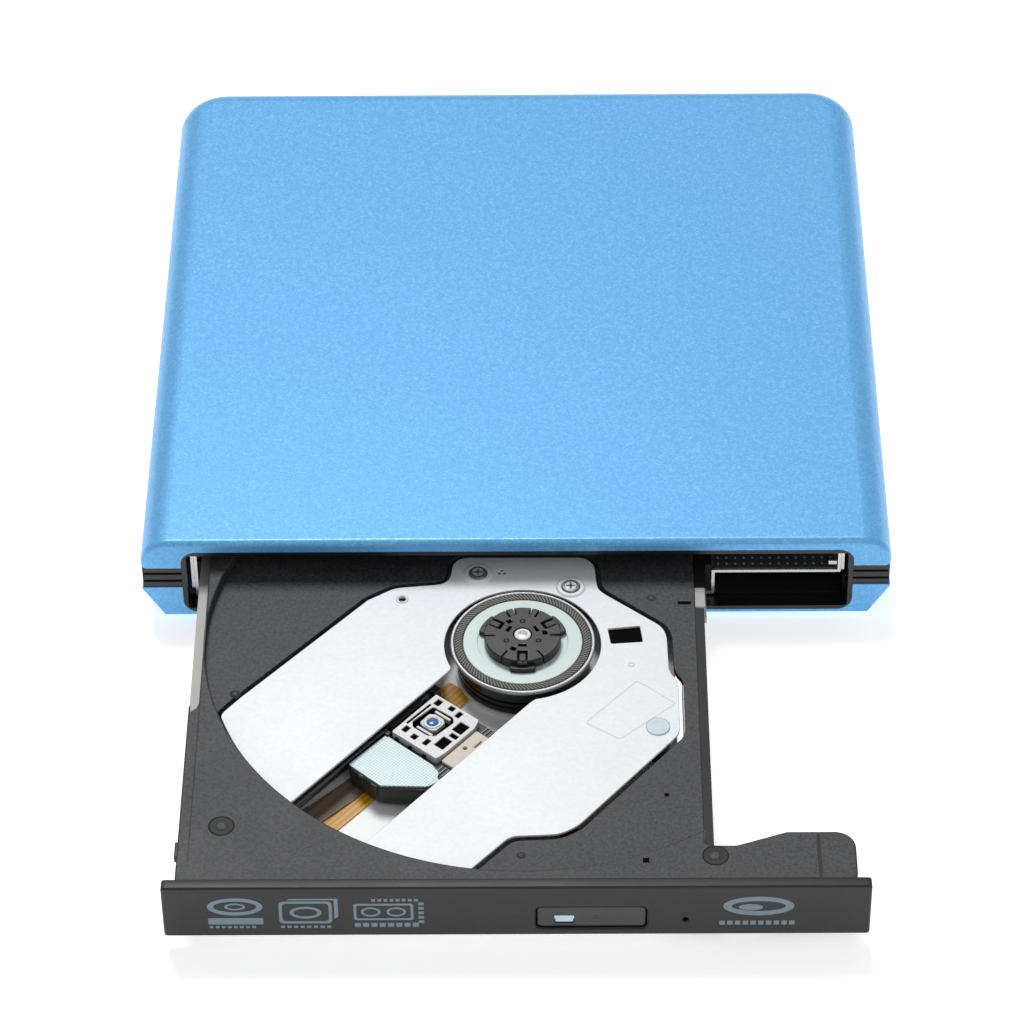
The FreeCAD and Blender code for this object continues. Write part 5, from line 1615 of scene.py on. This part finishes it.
@dataclass
class Spindle:
    """The turntable, its grip ring, the centring hub and its claws."""

    rib_count: int = 112
    hub_radius: float = 7.35
    dot_radius: float = 3.55
    claw_angles: Tuple[float, float, float] = (-90.0, 30.0, 150.0)

    def build(self) -> None:
        """Builds everything that turns with the disc."""
        place = Traverse().place()
        top = high("turntable").z
        under = low("turntable").z
        can = [(1.6, under), (1.6, under - 0.6), (11.9, under - 0.7), (11.9, 4.9), (12.6, 4.9),
               (12.6, 6.0), (12.3, 6.1), (12.3, 6.5), (12.6, 6.6), (12.6, 7.3), (12.3, 7.4),
               (12.3, 7.8), (12.6, 7.9), (12.6, 9.6), (12.8, 9.8), (12.8, under - 0.1),
               (12.6, under)]
        SHOP.piece("rotor_turned", [Maker.turned(can, ROUND)], place, "rotor", Finishes.GLOSS_BLACK,
                   ["rotor_can"])
        rim = [(13.25, under + 0.1), (13.55, under), (13.8, under + 0.15), (13.8, top - 0.15),
               (13.65, top), (13.35, top), (13.25, top - 0.1)]
        SHOP.piece("table_rim", [Maker.turned(rim, ROUND)], place, "rotor", Finishes.RIM)
        table = [(1.6, under), (13.24, under), (13.24, top - 0.3), (11.42, top - 0.3),
                 (11.42, top - 0.08), (11.3, top), (8.7, top), (8.6, top - 0.15), (1.6, top - 0.15)]
        SHOP.piece("table_turned", [Maker.turned(table, ROUND)], place, "rotor", Finishes.TABLE,
                   ["turntable"])
        grip = [(11.45, top - 0.29), (13.2, top - 0.29), (13.2, top - 0.05), (13.1, top),
                (11.55, top), (11.45, top - 0.05)]
        SHOP.piece("grip_turned", [Maker.turned(grip, ROUND)], place, "rotor", Finishes.GRIP,
                   ["grip_ring"])
        # Painted highlight: the ribs are drawn in the lighter copy of the grip's rubber, for their
        # lit crests.
        ribs = Repeater.spokes(self.rib_count, 12.32, (1.75, 0.27, 0.12), 0.7, Finishes.RIB_HIGHLIGHT)
        ribs.transform(Matrix.Translation((0, 0, top - 0.03)))
        SHOP.piece("grip_ribs", [ribs], place, "rotor", Finishes.RIB_HIGHLIGHT)
        self._hub(place, top)

    def _hub(self, place: Place, top: float) -> None:
        """Makes the slotted hub, its windows, the claws and the shaft's end.

        Args:
            place: the axes at the disc axis.
            top: the turntable's upper level.
        """
        crown = high("centring_hub").z
        outline = self._crown(self.hub_radius)
        windows: List[Loop] = []
        for claw in self.claw_angles:
            windows.append(self._square(claw, 3.0, 1.5, 0.55))
            windows.append(self._square(claw - 24, 4.3, 0.95, 0.85))
        bore = Outline.circle(0, 0, 1.75, count=32)
        crown_mesh = Maker.flat([outline, bore] + windows, top - 0.14, crown, 0.16)
        base = Maker.turned([(1.6, top - 0.14), (7.0, top - 0.14), (7.0, top + 0.5),
                             (1.6, top + 0.5)], 64)
        lobes = []
        for claw in self.claw_angles:
            lobe = Outline.arc(0, 0, 8.6, claw - 17, claw + 17,
                               10) + list(reversed(Outline.arc(0, 0, 6.9, claw - 21, claw + 21, 6)))
            lobes.append(Maker.flat([Outline.rounded(lobe, 0.5)], top - 0.12, top + 0.9, 0.2))
        SHOP.piece("hub_moulded", [crown_mesh, base] + lobes, place, "rotor", Finishes.HUB,
                   ["centring_hub"])
        # Painted shade: three small dead-black rings flush with the crown mark shaded pits in it.
        dots = [Maker.turned([(0.32, crown - 0.03), (0.55, crown - 0.03), (0.55, crown),
                              (0.32, crown)], 20, *Outline.arc(0, 0, self.dot_radius, a, a, 0)[0])
                for a in (90, 210, 330)]
        SHOP.piece("hub_dots", dots, place, "rotor", Finishes.HOLE_SHADE)
        ring = [(0.85, crown - 1.2), (1.55, crown - 1.2), (1.55, crown - 0.12), (1.4, crown),
                (1.0, crown), (0.85, crown - 0.15)]
        SHOP.piece("shaft_ring", [Maker.turned(ring, 48)], place, "rotor", Finishes.WHITE)
        start = low("spindle_shaft").z
        shaft = [(0, start), (1.5, start), (1.5, crown - 1.25), (0.8, crown - 1.25),
                 (0.8, crown - 0.2), (0, crown - 0.14)]
        SHOP.piece("shaft_turned", [Maker.turned(shaft, 40)], place, "rotor", Finishes.SHAFT,
                   ["spindle_shaft"])
        for name, body, claw in zip(("claw_front", "claw_right", "claw_left"),
                                    ("claw_a", "claw_b", "claw_c"), self.claw_angles):
            meshes = [Maker.block(5.0, 7.25, -0.75, 0.75, crown - 1.5, crown - 0.15, 0.25),
                      Maker.block(6.6, 7.75, -1.1, 1.1, crown - 1.0, crown - 0.35, 0.3)]
            SHOP.piece(name + "_moulded", meshes, place.turned(claw), body, Finishes.HUB, [name])

    def _crown(self, radius: float) -> Loop:
        """Gives the hub's round outline with its radial slits and claw slots.

        Args:
            radius: the hub's radius.

        Returns:
            The outline.
        """
        gaps = [(a + d, 0.11, 5.3) for a in self.claw_angles for d in (-33, 33)]
        gaps += [(a, 0.16, 5.6) for a in (76.0, 104.0)] + [(a, 0.95, 4.6) for a in self.claw_angles]
        gaps.sort(key=lambda gap: gap[0] % 360)
        outline: Loop = []
        angle = 0.0
        for centre_angle, half, deep in gaps:
            mid = centre_angle % 360
            wide, narrow = (math.degrees(math.asin(half / reach)) for reach in (radius, deep))
            outline += Outline.arc(0, 0, radius, angle, mid - wide, 6)
            outline += Outline.arc(0, 0, deep, mid - narrow, mid + narrow, 1)
            angle = mid + wide
        return outline

    @staticmethod
    def _square(angle: float, radius: float, wide: float, tall: float) -> Loop:
        """Gives a small rectangle square to a radius.

        Args:
            angle: the radius's direction, in degrees.
            radius: how far out the middle lies.
            wide: the size across the radius.
            tall: the size along the radius.

        Returns:
            The outline.
        """
        c, s = math.cos(math.radians(angle)), math.sin(math.radians(angle))
        corners = [(radius - tall / 2, -wide / 2), (radius + tall / 2, -wide / 2),
                   (radius + tall / 2, wide / 2), (radius - tall / 2, wide / 2)]
        return [(u * c - v * s, u * s + v * c) for u, v in corners]


@dataclass
class Pickup:
    """The laser sled, its lens and the ribbons, in axes along the sled's travel."""

    reach: float = 26.0

    def build(self) -> None:
        """Builds the sled and ribbons."""
        place = Traverse().place().turned(Traverse.SLED_ANGLE)
        self._base(place)
        self._yoke(place)
        self._lens(place)
        self._ribbons(place)

    def _base(self, place: Place) -> None:
        """Makes the black casting, its pale netted cover and cream side plate.

        Args:
            place: the axes along the sled's travel.
        """
        n = self.reach
        low_z, top = low("pickup_base").z, high("pickup_cover").z
        outline = [(n - 6.5, -5.8), (n + 17.6, -5.9), (n + 18.2, -4.6), (n + 18.4, 2.6),
                   (n + 13.4, 9.6), (n + 11.6, 10.7), (n - 6.5, 10.7)]
        well = Outline.rounded(Outline.box(n - 3.4, n + 4.2, -3.9, 3.2), 0.4)
        casting = [Maker.flat([Outline.rounded(outline, 1.1), well], low_z, top - 0.75, 0.35),
                   Maker.block(n - 4, n + 5, -9.4, -5.9, 5.4, 9.0, 0.3),
                   Maker.block(n - 2, n + 1.5, 10.8, 19.8, 5.4, 9.0, 0.3),
                   Maker.block(n - 5, n + 6, -4.4, 3.9, low_z + 0.05, low_z + 0.8, 0.1)]
        SHOP.piece("sled_cast", casting, place, "sled", Finishes.CASTING, ["pickup_base"])
        cover = Outline.rounded([(n + 7.5, -5.4), (n + 17.7, -5.7), (n + 18.1, 2.4),
                                 (n + 12.7, 9.4), (n + 10.2, 10.3), (n + 9.6, 9.2), (n + 8.6, 8.8),
                                 (n + 7.9, 6.6)], 0.35)
        SHOP.piece("sled_net_cover", [Maker.flat([cover], top - 0.72, top - 0.3, 0.08)], place,
                   "sled", Finishes.NET, ["pickup_cover"])
        side = Outline.rounded(Outline.box(n - 3.9, n + 6.2, 7.2, 10.3), 0.35)
        hole = Outline.circle(n + 0.9, 8.5, 0.42, count=18)
        slot = Outline.rounded(Outline.box(n - 2.4, n - 0.3, 9.6, 9.95), 0.15)
        SHOP.piece("sled_side", [Maker.flat([side, hole, slot], 8.9, 9.6, 0.12)], place, "sled",
                   Finishes.BEIGE, ["pickup_side_plate"])
        studs = [Maker.rod(n - 6.3, n - 4.2, 8.0 + 0.8 * i, 9.0, 0.12, 10) for i in range(3)]
        studs += [Maker.rod(n + 6.6, n + 8.9, 8.0 + 0.8 * i, 9.0, 0.12, 10) for i in range(3)]
        SHOP.piece("sled_wires", studs, place, "sled", Finishes.NICKEL)
        knobs = [Maker.turned([(0, 9.8), (0.5, 9.7), (0.62, 9.4), (0.62, 8.8), (0, 8.8)], 24, n
                              + 7.2, -5.2),
                 Maker.block(n + 18.0, n + 18.75, 0.4, 2.0, 6.6, 8.9, 0.25),
                 Maker.block(n + 17.2, n + 18.6, -2.8, -1.4, 7.0, 9.0, 0.3)]
        SHOP.piece("sled_knobs", knobs, place, "sled", Finishes.CASTING)

    def _yoke(self, place: Place) -> None:
        """Makes the bright actuator frame with its cut-outs, over a black sheet of painted shade in
        its well.

        Args:
            place: the axes along the sled's travel.
        """
        n = self.reach
        top = high("actuator_frame").z
        outline = Outline.rounded([(n - 5.9, -4.5), (n + 6.9, -4.5), (n + 7.0, 6.6), (n + 4.6, 7.0),
                                   (n - 3.8, 7.0), (n - 5.9, 6.2)], 0.35)
        well = [(n - 3.0, -2.7), (n + 2.4, -3.2), (n + 3.4, -2.2), (n + 3.4, 1.4), (n + 2.6, 2.6),
                (n - 2.2, 3.0), (n - 3.2, 2.0)]
        holes = [Outline.rounded(well, 0.4)]
        for u0, u1, v0, v1 in ((-5.2, -3.7, -3.3, -2.1), (-5.4, -4.3, -0.3, 0.9),
                               (-5.2, -3.7, 1.9, 2.9), (3.9, 5.4, -3.4, -2.3),
                               (4.6, 5.8, -0.9, 0.3), (4.0, 5.6, 1.9, 2.9), (-3.3, -0.7, 3.9, 6.1),
                               (-0.1, 0.9, 4.5, 6.2), (1.6, 4.4, 3.9, 6.0)):
            holes.append(Outline.rounded(Outline.box(n + u0, n + u1, v0, v1), 0.12))
        slot = [(n - 3.2, -3.75), (n + 3.4, -3.95), (n + 3.4, -3.5), (n - 3.2, -3.3)]
        holes.append(slot)
        plate = Maker.flat([outline] + holes, top - 0.35, top, 0.1)
        skirt = Maker.flat([outline, Outline.grown(outline, -0.35)], 8.45, top - 0.3, 0.05)
        SHOP.piece("yoke_plate", [plate, skirt], place, "sled", Finishes.NICKEL, ["actuator_frame"])
        # Painted shade: a dead-black sheet under the frame fills its well and shows through the
        # cut-outs.
        dark = Outline.grown(outline, -0.45)
        under = Maker.flat([dark, Outline.rounded(well, 0.4)], 8.6, top - 0.5, 0.03)
        SHOP.piece("yoke_dark", [under], place, "sled", Finishes.HOLE_SHADE)
        # The lugs along the frame's edges take the same dead black.
        lugs = [Maker.block(n - 6.4 + 3.1 * i, n - 5.2 + 3.1 * i, -5.1, -4.5, 8.6, 9.7, 0.12)
                for i in range(5)]
        lugs += [Maker.block(n + 7.0, n + 7.5, -3.4 + 3.4 * i, -2.6 + 3.4 * i, 8.6, 9.6, 0.12)
                 for i in range(3)]
        SHOP.piece("yoke_lugs", lugs, place, "sled", Finishes.HOLE_SHADE)
        magnets = [Maker.block(n + 2.3, n + 2.9, -1.9, 1.9, 8.9, 10.0, 0.1),
                   Maker.block(n - 2.9, n - 2.3, -1.9, 1.9, 8.9, 10.0, 0.1)]
        SHOP.piece("yoke_magnets", magnets, place, "sled", Finishes.NICKEL, ["actuator_magnets"])

    def _lens(self, place: Place) -> None:
        """Makes the lens holder, its white ring and the blue lens.

        Args:
            place: the axes along the sled's travel.
        """
        n = self.reach
        v = -0.3
        holder = Outline.rounded([(n - 2.0, v - 1.0), (n - 1.3, v - 2.0), (n + 1.5, v - 1.9),
                                  (n + 1.9, v - 1.0), (n + 1.9, v + 1.2), (n + 1.2, v + 2.0),
                                  (n - 1.3, v + 2.0), (n - 2.0, v + 1.1)], 0.3)
        body = Maker.flat([holder, Outline.circle(n, v, 1.6, count=36)], 9.0, 10.05, 0.15)
        SHOP.piece("lens_carrier", [body], place, "lens", Finishes.NICKEL, ["lens_holder"])
        ring = [(1.12, 9.5), (1.66, 9.5), (1.72, 9.9), (1.6, 10.22), (1.3, 10.24), (1.14, 10.1)]
        SHOP.piece("lens_ring", [Maker.turned(ring, 48, n, v)], place, "lens", Finishes.WHITE)
        dome = [(0, 9.5), (1.1, 9.5), (1.1, 10.0), (0.9, 10.12), (0.6, 10.2), (0.3, 10.24),
                (0, 10.25)]
        SHOP.piece("lens_dome", [Maker.turned(dome, 40, n, v)], place, "lens", Finishes.LENS,
                   ["objective_lens"])

    def _ribbons(self, place: Place) -> None:
        """Makes the two sled ribbons and the motor ribbon.

        Args:
            place: the axes along the sled's travel.
        """
        z = low("sled_flex_orange").z
        orange = [(40.0, -1.6, z, 2.3), (48.0, -1.6, z, 2.3), (55.0, -1.7, z, 2.3),
                  (62.0, -1.9, z, 2.3)]
        SHOP.piece("ribbon_orange_flat", [Maker.ribbon(orange, 0.14)], place, "tray_body",
                   Finishes.ORANGE, ["sled_flex_orange"])
        brown = [(40.0, -3.9, z + 0.2, 2.3), (46.0, -4.3, z + 0.25, 2.3),
                 (52.0, -4.9, z + 0.35, 2.3), (57.0, -5.6, z + 0.4, 2.3),
                 (60.5, -6.2, z + 0.4, 2.3)]
        SHOP.piece("ribbon_brown_flat", [Maker.ribbon(brown, 0.14)], place, "tray_body",
                   Finishes.BROWN, ["sled_flex_brown"])
        z = low("motor_flex").z
        motor = [(11.6, -5.7, z, 3.0), (14.4, -5.7, z, 3.0), (17.4, -5.5, z, 2.8)]
        SHOP.piece("ribbon_motor", [Maker.ribbon(motor, 0.14)], place, "tray_body", Finishes.ORANGE,
                   ["motor_flex"])


@dataclass
class Studio:
    """Floor, lights and camera."""

    eye: Tuple[float, float, float] = (0.006433, -0.685431, 0.591664)
    pitch: float = 0.7449900
    yaw: float = -0.0114570
    roll: float = -0.0125055
    lens: float = 152.35
    surround: float = 0.39
    floor_glow: float = 0.55

    def build(self) -> None:
        """Sets the scene up."""
        self._floor()
        self._lights()
        self._camera()

    def _floor(self) -> None:
        """Lays a plain pale floor under the feet."""
        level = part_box("rubber_feet")[0].z - 0.0002
        mesh = bpy.data.meshes.new("floor")
        work = bmesh.new()
        bmesh.ops.create_grid(work, x_segments=1, y_segments=1, size=3.0,
                              matrix=Matrix.Translation((0.0, 0.0, level)))
        work.to_mesh(mesh)
        work.free()
        floor = bpy.data.objects.new("floor", mesh)
        bpy.context.scene.collection.objects.link(floor)
        paint = bpy.data.materials.new("floor_pale")
        paint.use_nodes = True
        shader = paint.node_tree.nodes["Principled BSDF"]
        shader.inputs["Base Color"].default_value = (0.97, 0.97, 0.97, 1.0)
        shader.inputs["Roughness"].default_value = 0.9
        shader.inputs["Specular IOR Level"].default_value = 0.1
        shader.inputs["Emission Color"].default_value = (1.0, 1.0, 1.0, 1.0)
        shader.inputs["Emission Strength"].default_value = self.floor_glow
        mesh.materials.append(paint)

    @staticmethod
    def _area(name: str, spot: Tuple[float, float, float], aim: Tuple[float, float, float],
              size: float, power: float) -> None:
        """Hangs one soft square light.

        Args:
            name: the light's name.
            spot: where it hangs.
            aim: the point it faces.
            size: its side.
            power: its power in watts.
        """
        lamp = bpy.data.lights.new(name, "AREA")
        lamp.energy = power
        lamp.size = size
        holder = bpy.data.objects.new(name, lamp)
        holder.location = spot
        holder.rotation_mode = "QUATERNION"
        holder.rotation_quaternion = (Vector(aim) - Vector(spot)).to_track_quat("-Z", "Y")
        bpy.context.scene.collection.objects.link(holder)

    def _lights(self) -> None:
        """Hangs the soft lights and sets a white surround."""
        world = bpy.data.worlds.new("surround")
        world.use_nodes = True
        world.node_tree.nodes["Background"].inputs["Color"].default_value = (1.0, 1.0, 1.0, 1.0)
        world.node_tree.nodes["Background"].inputs["Strength"].default_value = self.surround
        bpy.context.scene.world = world
        bpy.context.scene.view_settings.view_transform = "Standard"
        self._area("key_soft", (-0.15, 0.55, 1.15), (0.0, -0.05, 0.0), 0.42, 8.3)
        self._area("fill_front", (0.35, -0.9, 0.75), (0.0, -0.08, 0.0), 0.8, 1.3)

    def _camera(self) -> None:
        """Sets the camera at the object's viewing angle."""
        p, y, r = self.pitch, self.yaw, self.roll
        ahead = Vector((math.sin(y) * math.cos(p), math.cos(y) * math.cos(p), -math.sin(p)))
        right = Vector((math.cos(y), -math.sin(y), 0.0))
        up = right.cross(ahead)
        side = right * math.cos(r) + up * math.sin(r)
        head = up * math.cos(r) - right * math.sin(r)
        data = bpy.data.cameras.new("camera")
        data.lens = self.lens
        data.sensor_width = 36.0
        camera = bpy.data.objects.new("camera", data)
        turn = Matrix((side, head, -ahead)).transposed()
        camera.matrix_world = Matrix.Translation(self.eye) @ turn.to_4x4()
        bpy.context.scene.collection.objects.link(camera)
        bpy.context.scene.camera = camera


def main() -> None:
    """Builds every sub-assembly in order and reports it."""
    logging.basicConfig(level=logging.INFO, format="%(name)s: %(message)s")
    for part in (Studio(), Housing(), DriveCase(), TraySet(), FrontPanel(), Traverse(), Spindle(),
                 Pickup()):
        part.build()
        LOG.info("%s done", type(part).__name__)
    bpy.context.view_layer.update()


if __name__ == "__main__":
    main()
